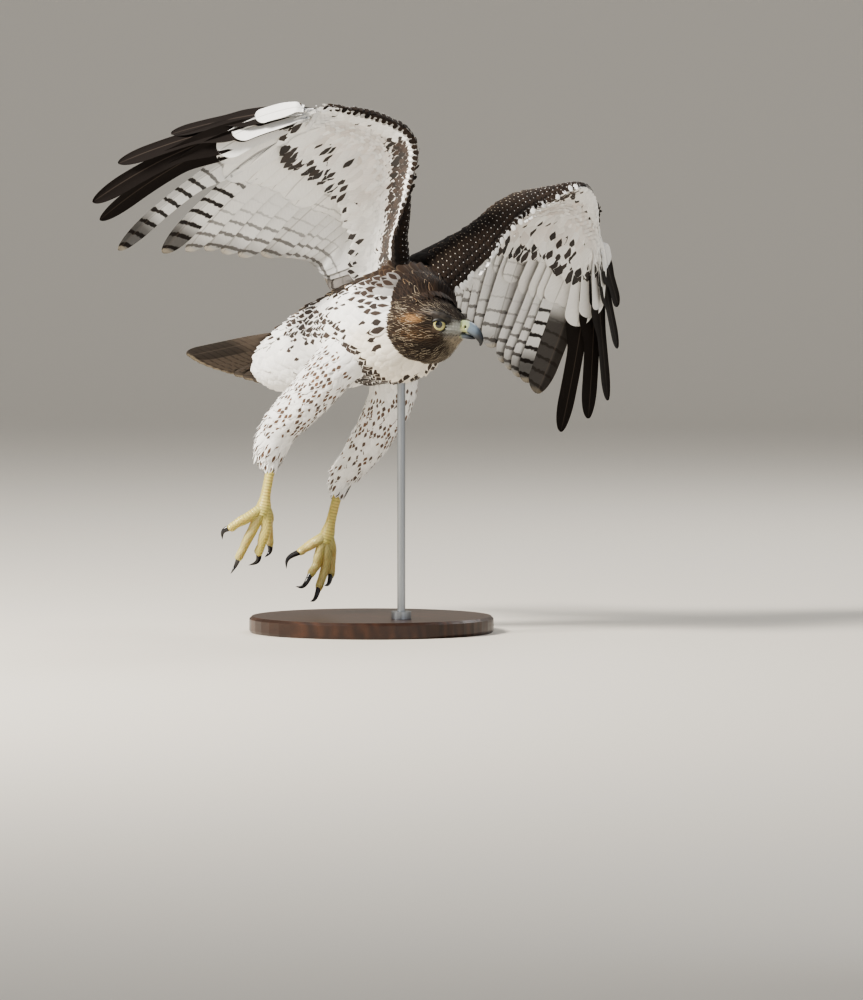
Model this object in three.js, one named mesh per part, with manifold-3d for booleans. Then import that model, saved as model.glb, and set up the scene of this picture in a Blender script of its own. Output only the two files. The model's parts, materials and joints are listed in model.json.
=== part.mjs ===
// A red-tailed hawk in its first year, life size, just off its perch: wings raised, legs trailing,
// held over a round display base by one rod.
// Millimetres, +Z up. The bird heads along +X and its left side is towards +Y.
// The origin is the centre of the base's underside.
import * as THREE from "three";
import { mergeVertices } from "three/addons/utils/BufferGeometryUtils.js";
import Module from "manifold-3d";

const wasm = await Module();
wasm.setup();
const { Manifold } = wasm;

// Attitude of the body and head, in degrees
const BODY_PITCH_UP = 13;
const BODY_ROLL_LEFT_DOWN = 18;
const HEAD_TURN_LEFT = 33;
const HEAD_NOD_DOWN = 2;
// Height of the trunk's centre, and how far it stands from the middle of the base
const BODY_CENTRE = [22, -6, 332];
const GAP = 0.3;

// Display stand
const BASE_RADIUS = 135;
const BASE_HEIGHT = 18;
const BASE_EDGE = 3;
const ROD_RADIUS = 4.5;
const COLLAR_RADIUS = 11;
const COLLAR_HEIGHT = 9;
const ROD_PLACE = [71, -8];

// Trunk stations: x, height of the middle, half width, reach up, reach down
const TRUNK = [
  [-224, 0, 8, 6, 8],
  [-214, 0, 23, 16, 19],
  [-188, 0, 35, 26, 29],
  [-160, 0, 41, 37, 36],
  [-125, 1, 46, 45, 43],
  [-85, 2, 51, 52, 48],
  [-40, 2, 56, 57, 52],
  [5, 1, 60, 60, 59],
  [45, 2, 59, 61, 64],
  [72, 4, 51, 57, 60],
  [90, 5, 37, 42, 49],
  [98, 5, 18, 20, 30],
];
// Neck stations in the body frame: centre x, y, z and radius
const NECK = [
  [50, 0, 16, 42],
  [72, 0, 12, 43],
  [92, 0, 2, 39],
  [103, 0, -8, 33],
];
const HEAD_CENTRE = [112, 2, -16];
// Head stations along the bill's axis: x, height of the middle, half width, reach up, reach down
const HEAD = [
  [-45, 2, 10, 10, 10],
  [-40, 1, 24, 22, 24],
  [-28, 0, 33, 31, 34],
  [-12, 0, 35, 34, 39],
  [4, 0, 33.5, 32, 40],
  [18, 0, 28.5, 26, 34],
  [28, 1, 20.5, 17, 23],
  [35, 0, 13.5, 11.5, 13.5],
  [38, -0.5, 8, 8, 8],
];
const EYE_PLACE = [15, 19.2, 3.5];
const EYE_RADIUS = 10.2;
const IRIS_LOOKS = [0.42, 1, 0.02];
const LID_THICKNESS = 1.8;
const LID_OPENING = 9.6;
const LID_DEPTH = 17;
// Brow ridge stations: x, y, z and radius
const BROW = [
  [-4, 25.5, 14, 3],
  [8, 26.6, 14.6, 4.2],
  [20, 24.4, 13, 4.4],
  [29, 18.6, 9.2, 3.4],
  [35, 13, 5.4, 1.6],
];
// Bill stations along its bending centre line: x, z, half width, reach up, reach down
const UPPER_BILL = [
  [29, -1, 10.5, 9.3, 3.6],
  [36, -0.8, 9.2, 9.4, 3.6],
  [43, -1.8, 7.8, 9, 3.8],
  [48.5, -3.9, 6.2, 7.7, 4.3],
  [53, -7.3, 4.7, 6, 4.3],
  [56, -11.3, 3.1, 4.2, 3.5],
  [57, -15.2, 1.8, 2.7, 2.3],
  [56.4, -18.8, 0.6, 0.8, 0.8],
];
const LOWER_BILL = [
  [27, -6.8, 9.2, 1.6, 4.6],
  [35, -7.3, 7.8, 1.8, 4.4],
  [43, -8.7, 5.6, 1.6, 3.6],
  [49, -10.6, 3, 1, 1.8],
];
const NOSTRIL = { x: 42, y: 7.6, z: 1.4, radius: 1.3, depth: 3 };

// Wings in the body frame. span runs 0 at the shoulder, 1 at the wrist and 2 at the end of the hand.
const WINGS = {
  left: {
    side: 1,
    arch: [
      [0, 0.2],
      [0.4, 0.26],
      [0.7, 0.26],
      [1, 0.12],
      [1.2, 0.07],
      [2, 0.04],
    ],
    sweep: 0.02,
    leading: [
      [-0.1, [84, 20, 8]],
      [0, [96, 34, 26]],
      [0.3, [110, 64, 70]],
      [0.6, [119, 94, 122]],
      [0.8, [121, 125, 157]],
      [1.0, [127, 156, 188]],
      [1.12, [122, 172, 194]],
      [1.35, [104, 194, 190]],
      [2, [56, 232, 170]],
    ],
    tips: [
      [0, [-84, 38, 74]],
      [0.25, [-74, 92, 82]],
      [0.5, [-70, 142, 80]],
      [0.8, [-78, 180, 66]],
      [1, [-90, 212, 54]],
      [1.05, [-94, 222, 50]],
      [1.25, [-98, 246, 42]],
      [1.45, [-100, 275, 32]],
      [1.55, [-106, 316, 0]],
      [1.65, [-86, 336, 18]],
      [1.75, [-68, 345, 38]],
      [1.85, [-40, 330, 90]],
      [1.95, [-8, 303, 126]],
    ],
  },
  right: {
    side: -1,
    arch: [
      [0, 0.13],
      [0.6, 0.13],
      [1.2, 0.09],
      [2, 0.05],
    ],
    sweep: 0.06,
    leading: [
      [-0.1, [60, -18, 22]],
      [0, [72, -30, 36]],
      [0.3, [83, -47, 80]],
      [0.65, [107, -47, 132]],
      [0.9, [124, -53, 168]],
      [1.05, [123, -68, 186]],
      [1.3, [111, -101, 196]],
      [2, [90, -176, 196]],
    ],
    tips: [
      [0, [-84, -26, 76]],
      [0.25, [-92, -32, 88]],
      [0.5, [-98, -49, 95]],
      [0.8, [-98, -86, 86]],
      [1, [-94, -118, 72]],
      [1.05, [-90, -136, 66]],
      [1.25, [-88, -182, 60]],
      [1.45, [-84, -238, 40]],
      [1.55, [-84, -293, 26]],
      [1.65, [-72, -328, 48]],
      [1.75, [-62, -345, 60]],
      [1.85, [-43, -330, 103]],
      [1.95, [-22, -281, 147]],
    ],
  },
};
const PRIMARIES = 10;
const SECONDARIES = 11;
// Flesh and small coverts of the wing: span, depth from the leading edge, half thickness at the front
const WING_CORE = [
  [-0.1, 96, 17],
  [0.1, 98, 14],
  [0.5, 92, 10],
  [0.9, 76, 8.5],
  [1.1, 62, 8],
  [1.5, 50, 6.5],
  [1.9, 34, 4.5],
];
const CORE_REAR_HALF = 3.4;
const ARM_END = 0.985;
const HAND_START = 1.0;
const FLIGHT_HALF_WIDTH = 17.5;
const VANE_THICKNESS = 0.8;
const SHINGLE_TILT = 6.5;
const COVERT_LIFT = 2.7;

// Tail: a shallow fan of twelve quills
const RECTRICES = 12;
const TAIL_ROOT = [-128, 0, 26];
const TAIL_FEATHER = 196;
const TAIL_FAN = 13;
const TAIL_RISE = -1.5;
const TAIL_HALF_WIDTH = 14.5;

// Legs in the body frame: stations of the feathered thigh as x, y, z, radius across, radius along
const LEGS = {
  right: {
    side: -1,
    thigh: [
      [6, -24, -24, 24, 33],
      [-14, -38, -48, 24, 30],
      [-52, -46, -80, 22, 26],
      [-88, -50, -104, 20, 21],
      [-105, -50, -126, 16.5, 18],
      [-110, -47, -148, 8.5, 9.5],
    ],
    tarsus: [
      [-101, -49, -130, 5.6],
      [-110, -46, -158, 5],
      [-117, -43, -180, 5.4],
      [-121, -41, -192, 8],
      [-124, -41, -202, 6.5],
    ],
    toes: [
      [[-118, -38, -194], [-138, -22, -204], [-146, -12, -222], [-150, -13, -236]],
      [[-121, -35, -199], [-129, -30, -222], [-141, -27, -238], [-152, -30, -250]],
      [[-125, -42, -202], [-140, -44, -228], [-153, -44, -246], [-163, -45, -262]],
      [[-123, -47, -200], [-133, -60, -212], [-142, -66, -220], [-152, -68, -231]],
    ],
  },
  left: {
    side: 1,
    thigh: [
      [6, 24, -24, 24, 33],
      [-14, 38, -50, 24, 31],
      [-47, 47, -82, 21.5, 25],
      [-83, 51, -108, 18, 19.5],
      [-108, 50, -126, 13.5, 15],
      [-120, 50, -145, 8.5, 9.5],
    ],
    tarsus: [
      [-115, 50, -130, 5.6],
      [-124, 51, -158, 5],
      [-132, 53, -180, 5.4],
      [-137, 54, -194, 8],
      [-140, 54, -204, 6.5],
    ],
    toes: [
      [[-135, 56, -197], [-148, 70, -212], [-154, 76, -230], [-150, 68, -246]],
      [[-139, 48, -200], [-150, 40, -209], [-154, 33, -217], [-156, 21, -238]],
      [[-142, 52, -205], [-151, 55, -225], [-153, 50, -238], [-150, 33, -257]],
      [[-140, 58, -204], [-151, 66, -227], [-155, 64, -249], [-151, 54, -268]],
    ],
  },
};
const TOE_RADIUS = [5.2, 4.7, 4];
const CLAW_RADIUS = 3.2;
const CLAW_SAG = 0.16;

// Facets
const TRUNK_SIDES = 24;
const HEAD_SIDES = 20;
const LIMB_SIDES = 12;
const TOE_SIDES = 8;
const VANE_STATIONS = 6;
const COVERT_STATIONS = 3;

const vector = (p) => new THREE.Vector3(p[0], p[1], p[2]);
const radians = THREE.MathUtils.degToRad;

// Smooth value through keys of [t, number or array], by Hermite cubics with mean slopes.
function through(keys, t) {
  const last = keys.length - 1;
  let i = 0;
  while (i < last - 1 && t > keys[i + 1][0]) i += 1;
  const slope = (k, read) => {
    const a = keys[Math.max(k - 1, 0)];
    const b = keys[Math.min(k + 1, last)];
    return (read(b) - read(a)) / (b[0] - a[0]);
  };
  const [from, to] = [keys[i], keys[i + 1]];
  const width = to[0] - from[0];
  const u = (t - from[0]) / width;
  const blend = (read) =>
    (2 * u ** 3 - 3 * u ** 2 + 1) * read(from) +
    (u ** 3 - 2 * u ** 2 + u) * width * slope(i, read) +
    (3 * u ** 2 - 2 * u ** 3) * read(to) +
    (u ** 3 - u ** 2) * width * slope(i + 1, read);
  if (!Array.isArray(from[1])) return blend((key) => key[1]);
  return from[1].map((_, axis) => blend((key) => key[1][axis]));
}

// Closed solid from rings of points with equal counts, each end closed by a fan round its middle.
function ringSolid(rings) {
  const sides = rings[0].length;
  const points = rings.flat();
  const triangles = [];
  for (let r = 0; r + 1 < rings.length; r += 1) {
    for (let k = 0; k < sides; k += 1) {
      const a = r * sides + k;
      const b = r * sides + ((k + 1) % sides);
      triangles.push([a, b, b + sides], [a, b + sides, a + sides]);
    }
  }
  const middle = (ring) => ring.reduce((sum, p) => sum.add(p), new THREE.Vector3()).divideScalar(sides);
  const first = points.push(middle(rings[0])) - 1;
  const end = points.push(middle(rings[rings.length - 1])) - 1;
  const lastRing = (rings.length - 1) * sides;
  for (let k = 0; k < sides; k += 1) {
    const next = (k + 1) % sides;
    triangles.push([next, k, first], [lastRing + k, lastRing + next, end]);
  }
  return solidOf(points, triangles);
}

// Manifold of points and triangles, turned the right way out.
function solidOf(points, triangles) {
  const make = (faces) =>
    new Manifold(
      new wasm.Mesh({
        numProp: 3,
        vertProperties: new Float32Array(points.flatMap((p) => [p.x, p.y, p.z])),
        triVerts: new Uint32Array(faces.flat()),
      }),
    );
  const made = make(triangles);
  return made.volume() > 0 ? made : make(triangles.map(([a, b, c]) => [a, c, b]));
}

// The largest closed surface of a solid, with any sealed hollow filled.
function largest(solid) {
  const pieces = solid.decompose();
  return pieces.reduce((best, piece) => (piece.volume() > best.volume() ? piece : best));
}

const join = (solids) => solids.reduce((sum, solid) => sum.add(solid));

// Solid along +X whose stations give x, height of the middle, half width, reach up and reach down.
function bodyOfStations(stations, sides, grow = 0) {
  const rings = stations.map(([x, middle, halfWidth, up, down], index) => {
    const end = index === 0 ? -grow : index === stations.length - 1 ? grow : 0;
    return Array.from({ length: sides }, (_, k) => {
      const angle = (2 * Math.PI * k) / sides;
      const reach = Math.sin(angle) > 0 ? up : down;
      return new THREE.Vector3(
        x + end,
        Math.cos(angle) * (halfWidth + grow),
        middle + Math.sin(angle) * (reach + grow),
      );
    });
  });
  return ringSolid(rings);
}

// Round limb through stations of x, y, z and one or two radii, the first across and the second along +X.
function limb(stations, sides, grow = 0) {
  const centres = stations.map(vector);
  const rings = centres.map((centre, index) => {
    const before = centres[Math.max(index - 1, 0)];
    const after = centres[Math.min(index + 1, centres.length - 1)];
    const along = after.clone().sub(before).normalize();
    const across = new THREE.Vector3(0, 1, 0).addScaledVector(along, -along.y).normalize();
    const front = across.clone().cross(along);
    const radius = stations[index][3] + grow;
    const depth = (stations[index][4] ?? stations[index][3]) + grow;
    return Array.from({ length: sides }, (_, k) => {
      const angle = (2 * Math.PI * k) / sides;
      return centre
        .clone()
        .addScaledVector(across, Math.cos(angle) * radius)
        .addScaledVector(front, Math.sin(angle) * depth);
    });
  });
  return ringSolid(rings);
}

// One flat vane: centre line, across direction and half widths to both sides at each station.
function vane(stations) {
  const rings = stations.map(({ centre, across, up, inner, outer, thickness }) => {
    const corner = (side, face) =>
      centre.clone().addScaledVector(across, side).addScaledVector(up, (face * thickness) / 2);
    return [corner(-inner, -1), corner(outer, -1), corner(outer, 1), corner(-inner, 1)];
  });
  const points = rings.flat();
  const triangles = [];
  for (let r = 0; r + 1 < rings.length; r += 1) {
    const a = 4 * r;
    triangles.push([a, a + 1, a + 5], [a, a + 5, a + 4]);
    triangles.push([a + 3, a + 6, a + 2], [a + 3, a + 7, a + 6]);
    triangles.push([a + 1, a + 2, a + 6], [a + 1, a + 6, a + 5]);
    triangles.push([a, a + 7, a + 3], [a, a + 4, a + 7]);
  }
  const z = 4 * (rings.length - 1);
  triangles.push([0, 2, 1], [0, 3, 2], [z, z + 1, z + 2], [z, z + 2, z + 3]);
  return solidOf(points, triangles);
}

// Half width of a feather at share s of its length: narrow root, broad middle and rounded tip.
function featherWidth(s, root) {
  const rise = root + (1 - root) * Math.sin(Math.min(s / 0.55, 1) * (Math.PI / 2));
  const tip = s > 0.8 ? Math.sqrt(Math.max(1 - ((s - 0.8) / 0.2) ** 2, 0.05)) : 1;
  return rise * tip;
}

// Wing surface: place, chord direction, spanwise direction and upper normal at a span.
function wingFrame(wing, span) {
  const edge = vector(through(wing.leading, span));
  const tip = vector(through(wing.tips, Math.max(span, 0)));
  const chord = tip.clone().sub(edge);
  const step = 0.02;
  const along = vector(through(wing.leading, span + step)).sub(edge).normalize();
  const tipAlong = vector(through(wing.tips, Math.max(span, 0) + step)).sub(tip);
  const length = chord.length();
  const direction = chord.clone().divideScalar(length);
  const spread = along.clone().multiplyScalar(step * 100).add(tipAlong);
  const normal = spread.clone().cross(direction).multiplyScalar(wing.side).normalize();
  const across = direction.clone().cross(normal).multiplyScalar(wing.side);
  const arch = Math.max(through(wing.arch, Math.max(span, 0)), 0);
  return { edge, direction, length, normal, across, arch };
}

// Height of the arched surface over the chord, at a distance from the leading edge.
function archAt(frame, distance) {
  const share = Math.min(distance / frame.length, 1);
  return frame.arch * frame.length * 2.6 * Math.sqrt(share) * (1 - share);
}

// Blunt-ended aerofoil that stands for flesh, bones and the small coverts of a stretch of wing.
function wingCore(wing, from, to, steps) {
  const shares = [0, 0.06, 0.2, 0.45, 0.75, 1];
  const rings = [];
  for (let k = 0; k <= steps; k += 1) {
    const span = from + ((to - from) * k) / steps;
    const frame = wingFrame(wing, span);
    const [depth, half] = through(
      WING_CORE.map(([t, ...sizes]) => [t, sizes]),
      span,
    );
    const place = (share, face) => {
      const front = Math.sqrt(Math.max(1 - (1 - Math.min(share / 0.3, 1)) ** 2, 0));
      const rear = Math.max((share - 0.3) / 0.7, 0);
      const thick = face * (half * front * (1 - rear) + CORE_REAR_HALF * rear);
      const distance = share * depth;
      return frame.edge
        .clone()
        .addScaledVector(frame.direction, distance)
        .addScaledVector(frame.normal, archAt(frame, distance) + thick);
    };
    rings.push([
      ...shares.map((share) => place(share, 1)),
      ...shares.slice(1).reverse().map((share) => place(share, -1)),
    ]);
  }
  return ringSolid(rings);
}

// Feather rooted in the wing's core at a span, from and to given distances behind the leading edge.
function wingFeather(wing, span, from, to, { halfWidth, lift, drop, stations, root, outerShare, sweep }) {
  const frame = wingFrame(wing, span);
  const tilt = radians(SHINGLE_TILT);
  const rings = [];
  for (let k = 0; k < stations; k += 1) {
    const s = k / (stations - 1);
    const distance = from + (to - from) * s;
    const centre = frame.edge
      .clone()
      .addScaledVector(frame.direction, distance)
      .addScaledVector(frame.normal, archAt(frame, distance) + lift - drop)
      .addScaledVector(frame.across, sweep * (to - from) * 4 * s * (1 - s));
    const across = frame.across.clone().multiplyScalar(Math.cos(tilt));
    across.addScaledVector(frame.normal, Math.sin(tilt));
    const up = frame.normal.clone().multiplyScalar(Math.cos(tilt));
    up.addScaledVector(frame.across, -Math.sin(tilt));
    const width = halfWidth * featherWidth(s, root);
    rings.push({
      centre,
      across,
      up,
      inner: width * 2 * (1 - outerShare),
      outer: width * 2 * outerShare,
      thickness: VANE_THICKNESS * (1 - 0.35 * s),
    });
  }
  return vane(rings);
}

// One tier of wing feathers for a list of spans.
function wingTier(wing, spans, reach, shape) {
  return spans.map((span, index) => {
    const depth = through(
      WING_CORE.map(([t, size]) => [t, size]),
      span,
    );
    const length = wingFrame(wing, span).length;
    return wingFeather(wing, span, depth - 14, length * reach, {
      ...shape,
      drop: shape.stagger * index,
    });
  });
}

function armSolid(wing, trunk) {
  const spans = Array.from({ length: SECONDARIES }, (_, k) => ((k + 0.5) / SECONDARIES) * 0.96);
  const flight = {
    halfWidth: FLIGHT_HALF_WIDTH,
    lift: 0,
    stagger: 0,
    root: 0.5,
    outerShare: 0.42,
    sweep: 0,
  };
  const covert = { ...flight, halfWidth: 11, stations: COVERT_STATIONS, root: 0.7 };
  const pieces = [
    wingCore(wing, -0.1, ARM_END, 7),
    ...wingTier(wing, spans, 1, { ...flight, stations: VANE_STATIONS }),
    ...wingTier(wing, spans, 0.62, { ...covert, lift: COVERT_LIFT }),
    ...wingTier(wing, spans, 0.56, { ...covert, lift: -COVERT_LIFT }),
  ];
  return largest(join(pieces).subtract(trunk));
}

function handSolid(wing, arm) {
  const spans = Array.from({ length: PRIMARIES }, (_, k) => HAND_START + (k + 0.5) / PRIMARIES);
  const flight = {
    halfWidth: 15,
    lift: 0,
    stagger: 0.45,
    root: 0.5,
    outerShare: 0.36,
    sweep: wing.sweep,
  };
  const covert = { ...flight, halfWidth: 9, stations: COVERT_STATIONS, root: 0.7 };
  const pieces = [
    wingCore(wing, HAND_START, 1.97, 7),
    ...wingTier(wing, spans, 1, { ...flight, stations: VANE_STATIONS }),
    ...wingTier(wing, spans, 0.42, { ...covert, lift: COVERT_LIFT }),
    ...wingTier(wing, spans, 0.42, { ...covert, lift: -COVERT_LIFT }),
  ];
  return largest(join(pieces).subtract(arm));
}

// Tail quills fanned in one shallow roof, the middle pair on top.
function tailSolid(trunk) {
  const root = vector(TAIL_ROOT);
  const rise = radians(TAIL_RISE);
  const quills = Array.from({ length: RECTRICES }, (_, k) => {
    const place = (k - (RECTRICES - 1) / 2) / ((RECTRICES - 1) / 2);
    const yaw = radians(TAIL_FAN) * place;
    const along = new THREE.Vector3(
      -Math.cos(yaw) * Math.cos(rise),
      Math.sin(yaw),
      Math.sin(rise) * Math.cos(yaw),
    );
    const level = new THREE.Vector3(Math.sin(rise), 0, Math.cos(rise));
    const sideways = level.clone().cross(along).normalize();
    const tilt = -radians(SHINGLE_TILT) * Math.sign(place);
    const across = sideways.clone().multiplyScalar(Math.cos(tilt));
    across.addScaledVector(level, Math.sin(tilt));
    const up = along.clone().cross(across);
    const start = root.clone().addScaledVector(sideways, -20 * place);
    start.addScaledVector(level, -5 * Math.abs(place));
    const length = TAIL_FEATHER * (1 - 0.06 * place * place);
    const stations = Array.from({ length: VANE_STATIONS }, (_, j) => {
      const s = j / (VANE_STATIONS - 1);
      const width = TAIL_HALF_WIDTH * featherWidth(s, 0.45);
      return {
        centre: start.clone().addScaledVector(along, length * s),
        across,
        up,
        inner: width,
        outer: width,
        thickness: VANE_THICKNESS,
      };
    });
    return vane(stations);
  });
  const stump = bodyOfStations(
    [
      [-206, 22, 24, 3, 5],
      [-196, 22, 30, 5, 7],
      [-165, 23, 29, 6, 9],
      [-125, 24, 22, 6, 8],
    ],
    LIMB_SIDES,
  );
  return largest(join([stump, ...quills]).subtract(trunk));
}

// Head with brow ridges and lids: a shell round each globe, open in front of the iris.
function headSolid(eyes) {
  const skull = bodyOfStations(HEAD, HEAD_SIDES);
  const lids = [1, -1].map((side) => eyeSolid(side, LID_THICKNESS));
  const brows = [1, -1].map((side) => browSolid(side));
  const openings = [1, -1].map((side) => {
    const look = new THREE.Vector3(IRIS_LOOKS[0], side * IRIS_LOOKS[1], IRIS_LOOKS[2]).normalize();
    const cutter = new THREE.CylinderGeometry(LID_OPENING, EYE_RADIUS / 2, LID_DEPTH, 16);
    cutter.applyQuaternion(new THREE.Quaternion().setFromUnitVectors(new THREE.Vector3(0, 1, 0), look));
    const middle = eyePlace(side).addScaledVector(look, LID_DEPTH / 2);
    return geometrySolid(cutter.translate(middle.x, middle.y, middle.z));
  });
  return largest(join([skull, ...lids, ...brows]).subtract(join([eyes, ...openings])));
}

const eyePlace = (side) => new THREE.Vector3(EYE_PLACE[0], side * EYE_PLACE[1], EYE_PLACE[2]);

// Closed three.js geometry as a solid.
function geometrySolid(geometry) {
  const bare = geometry.clone();
  bare.deleteAttribute("normal");
  bare.deleteAttribute("uv");
  const merged = mergeVertices(bare, 1e-4);
  const made = new Manifold(
    new wasm.Mesh({
      numProp: 3,
      vertProperties: merged.attributes.position.array,
      triVerts: new Uint32Array(merged.index.array),
    }),
  );
  return made;
}

// Ridge of the brow over one eye.
function browSolid(side, grow = 0) {
  const stations = BROW.map(([x, y, z, radius]) => [x, side * y, z, radius + grow]);
  return limb(stations, TOE_SIDES);
}

function eyeSolid(side, grow = 0) {
  const globe = new THREE.SphereGeometry(EYE_RADIUS + grow, 14, 10);
  globe.translate(EYE_PLACE[0], side * EYE_PLACE[1], EYE_PLACE[2]);
  return geometrySolid(globe);
}

// Upper bill with its cere and nostrils, and lower bill, each clear of the head.
function billSolids(headGrown) {
  const grown = (stations, grow) => {
    const rings = stations.map(([x, z, halfWidth, up, down], index) => {
      const before = stations[Math.max(index - 1, 0)];
      const after = stations[Math.min(index + 1, stations.length - 1)];
      const slope = Math.atan2(after[1] - before[1], after[0] - before[0]);
      return Array.from({ length: LIMB_SIDES }, (_, k) => {
        const angle = (2 * Math.PI * k) / LIMB_SIDES;
        const rise = Math.sin(angle) * (Math.sin(angle) > 0 ? up + grow : down + grow);
        return new THREE.Vector3(
          x - Math.sin(slope) * rise,
          Math.cos(angle) * (halfWidth + grow),
          z + Math.cos(slope) * rise,
        );
      });
    });
    return ringSolid(rings);
  };
  const nostrils = [1, -1].map((side) => {
    const hole = new THREE.CylinderGeometry(NOSTRIL.radius, NOSTRIL.radius, NOSTRIL.depth, 8);
    hole.translate(NOSTRIL.x, side * NOSTRIL.y, NOSTRIL.z);
    return geometrySolid(hole);
  });
  const upper = largest(grown(UPPER_BILL, 0).subtract(join([headGrown, ...nostrils])));
  const blocked = join([headGrown, grown(UPPER_BILL, GAP)]);
  const lower = largest(grown(LOWER_BILL, 0).subtract(blocked));
  return { upper, lower };
}

// Claw on a curve that sags below the straight line from its root to its tip.
function clawSolid(root, tip, grow) {
  const chord = tip.clone().sub(root);
  const sideways = new THREE.Vector3(0, 1, 0).cross(chord).normalize();
  const stations = Array.from({ length: 6 }, (_, k) => {
    const s = k / 5;
    const bow = CLAW_SAG * chord.length() * 4 * s * (1 - s);
    const at = root.clone().addScaledVector(chord, s).addScaledVector(sideways, bow);
    return [at.x, at.y, at.z, CLAW_RADIUS * (1 - 0.88 * s ** 1.3) + grow];
  });
  return limb(stations, TOE_SIDES);
}

// Thigh, tarsus, toes and claws of one leg, each cut clear of what it grows from.
function legSolids(leg, trunk) {
  const thigh = largest(limb(leg.thigh, 16).subtract(trunk));
  const thighGrown = limb(leg.thigh, 16, GAP);
  const tarsus = largest(limb(leg.tarsus, LIMB_SIDES).subtract(thighGrown));
  const tarsusGrown = limb(leg.tarsus, LIMB_SIDES, GAP);
  const toes = [];
  const claws = [];
  let taken = tarsusGrown;
  leg.toes.forEach((points) => {
    const [root, knuckle, clawRoot, clawTip] = points.map(vector);
    const start = root.clone().lerp(knuckle, -0.15);
    const end = clawRoot.clone().lerp(knuckle, -0.06);
    const path = [start, root, knuckle, end].map((p, index) => [
      p.x,
      p.y,
      p.z,
      TOE_RADIUS[Math.max(index - 1, 0)],
    ]);
    const widened = path.map(([x, y, z, r]) => [x, y, z, r + GAP]);
    toes.push(largest(limb(path, TOE_SIDES).subtract(taken)));
    taken = taken.add(limb(widened, TOE_SIDES));
    const clawStart = clawRoot.clone().lerp(clawTip, -0.2);
    claws.push(clawSolid(clawStart, clawTip, 0));
  });
  const clear = claws.map((claw) => largest(claw.subtract(taken)));
  return { thigh, tarsus, toes, claws: clear };
}

function baseGeometry() {
  const profile = [
    [0, 0],
    [BASE_RADIUS - BASE_EDGE / 2, 0],
    [BASE_RADIUS, BASE_EDGE],
    [BASE_RADIUS, BASE_HEIGHT - BASE_EDGE],
    [BASE_RADIUS - BASE_EDGE, BASE_HEIGHT],
    [0, BASE_HEIGHT],
  ].map(([radius, height]) => new THREE.Vector2(radius, height));
  return new THREE.LatheGeometry(profile, 48).rotateX(Math.PI / 2);
}

function cylinderAt(radius, from, to, sides) {
  const bar = new THREE.CylinderGeometry(radius, radius, to - from, sides).rotateX(Math.PI / 2);
  return bar.translate(ROD_PLACE[0], ROD_PLACE[1], (from + to) / 2);
}

const FINISHES = {
  mottled: { color: 0xe9e4da, roughness: 0.85 },
  brown: { color: 0x4a3a30, roughness: 0.85 },
  horn: { color: 0x23262b, roughness: 0.35 },
  cere: { color: 0xb9c77c, roughness: 0.5 },
  scales: { color: 0xd9cc86, roughness: 0.6 },
  eye: { color: 0xd8c47a, roughness: 0.1 },
  walnut: { color: 0x4b2f1f, roughness: 0.45 },
  steel: { color: 0x9a9c9e, roughness: 0.3, metalness: 1 },
};

function meshOf(name, shape, finish) {
  let geometry = shape;
  if (shape instanceof Manifold) {
    const { vertProperties, triVerts } = shape.getMesh();
    geometry = new THREE.BufferGeometry();
    geometry.setAttribute("position", new THREE.BufferAttribute(vertProperties, 3));
    geometry.setIndex(new THREE.BufferAttribute(triVerts, 1));
    geometry.computeVertexNormals();
  }
  const mesh = new THREE.Mesh(geometry, new THREE.MeshStandardMaterial(FINISHES[finish]));
  mesh.name = name;
  return mesh;
}

// Frames: the body is pitched and rolled, and the head is held nearly level and turned.
const bird = new THREE.Group();
bird.position.fromArray(BODY_CENTRE);
bird.rotation.set(-radians(BODY_ROLL_LEFT_DOWN), -radians(BODY_PITCH_UP), 0, "ZYX");
bird.updateMatrix();
const headInWorld = new THREE.Matrix4().makeRotationFromEuler(
  new THREE.Euler(0, radians(HEAD_NOD_DOWN), radians(HEAD_TURN_LEFT), "ZYX"),
);
headInWorld.setPosition(vector(HEAD_CENTRE).applyMatrix4(bird.matrix));
const headInBody = bird.matrix.clone().invert().multiply(headInWorld);
const headGroup = new THREE.Group();
headGroup.applyMatrix4(headInBody);

// Trunk, neck and head, parted face to face
const trunkGrown = bodyOfStations(TRUNK, TRUNK_SIDES, GAP);
const headGrown = bodyOfStations(HEAD, HEAD_SIDES, GAP);
const toBody = (solid) => solid.transform(headInBody.elements);
const face = [1, -1].flatMap((side) => [eyeSolid(side, 4), browSolid(side, 2 * GAP)]);
const neckBlock = join([trunkGrown, ...[headGrown, ...face].map(toBody)]);
const neck = largest(limb(NECK, 20).subtract(neckBlock));
const headBlock = trunkGrown.transform(headInBody.clone().invert().elements);
const eyeSockets = join([eyeSolid(1, GAP), eyeSolid(-1, GAP), headBlock]);
const bill = billSolids(headGrown);
headGroup.add(
  meshOf("head", headSolid(eyeSockets), "brown"),
  meshOf("eye_left", eyeSolid(1), "eye"),
  meshOf("eye_right", eyeSolid(-1), "eye"),
  meshOf("bill_upper", bill.upper, "cere"),
  meshOf("bill_lower", bill.lower, "horn"),
);
bird.add(
  meshOf("torso", bodyOfStations(TRUNK, TRUNK_SIDES), "mottled"),
  meshOf("neck", neck, "brown"),
  meshOf("tail", tailSolid(trunkGrown), "brown"),
  headGroup,
);

// Wings, left and right
const bodyGrown = join([trunkGrown, limb(NECK, 20, GAP), toBody(headGrown)]);
for (const [name, wing] of Object.entries(WINGS)) {
  const arm = armSolid(wing, bodyGrown);
  const hand = handSolid(wing, arm);
  bird.add(meshOf(`wing_${name}_arm`, arm, "mottled"), meshOf(`wing_${name}_hand`, hand, "brown"));
}

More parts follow.
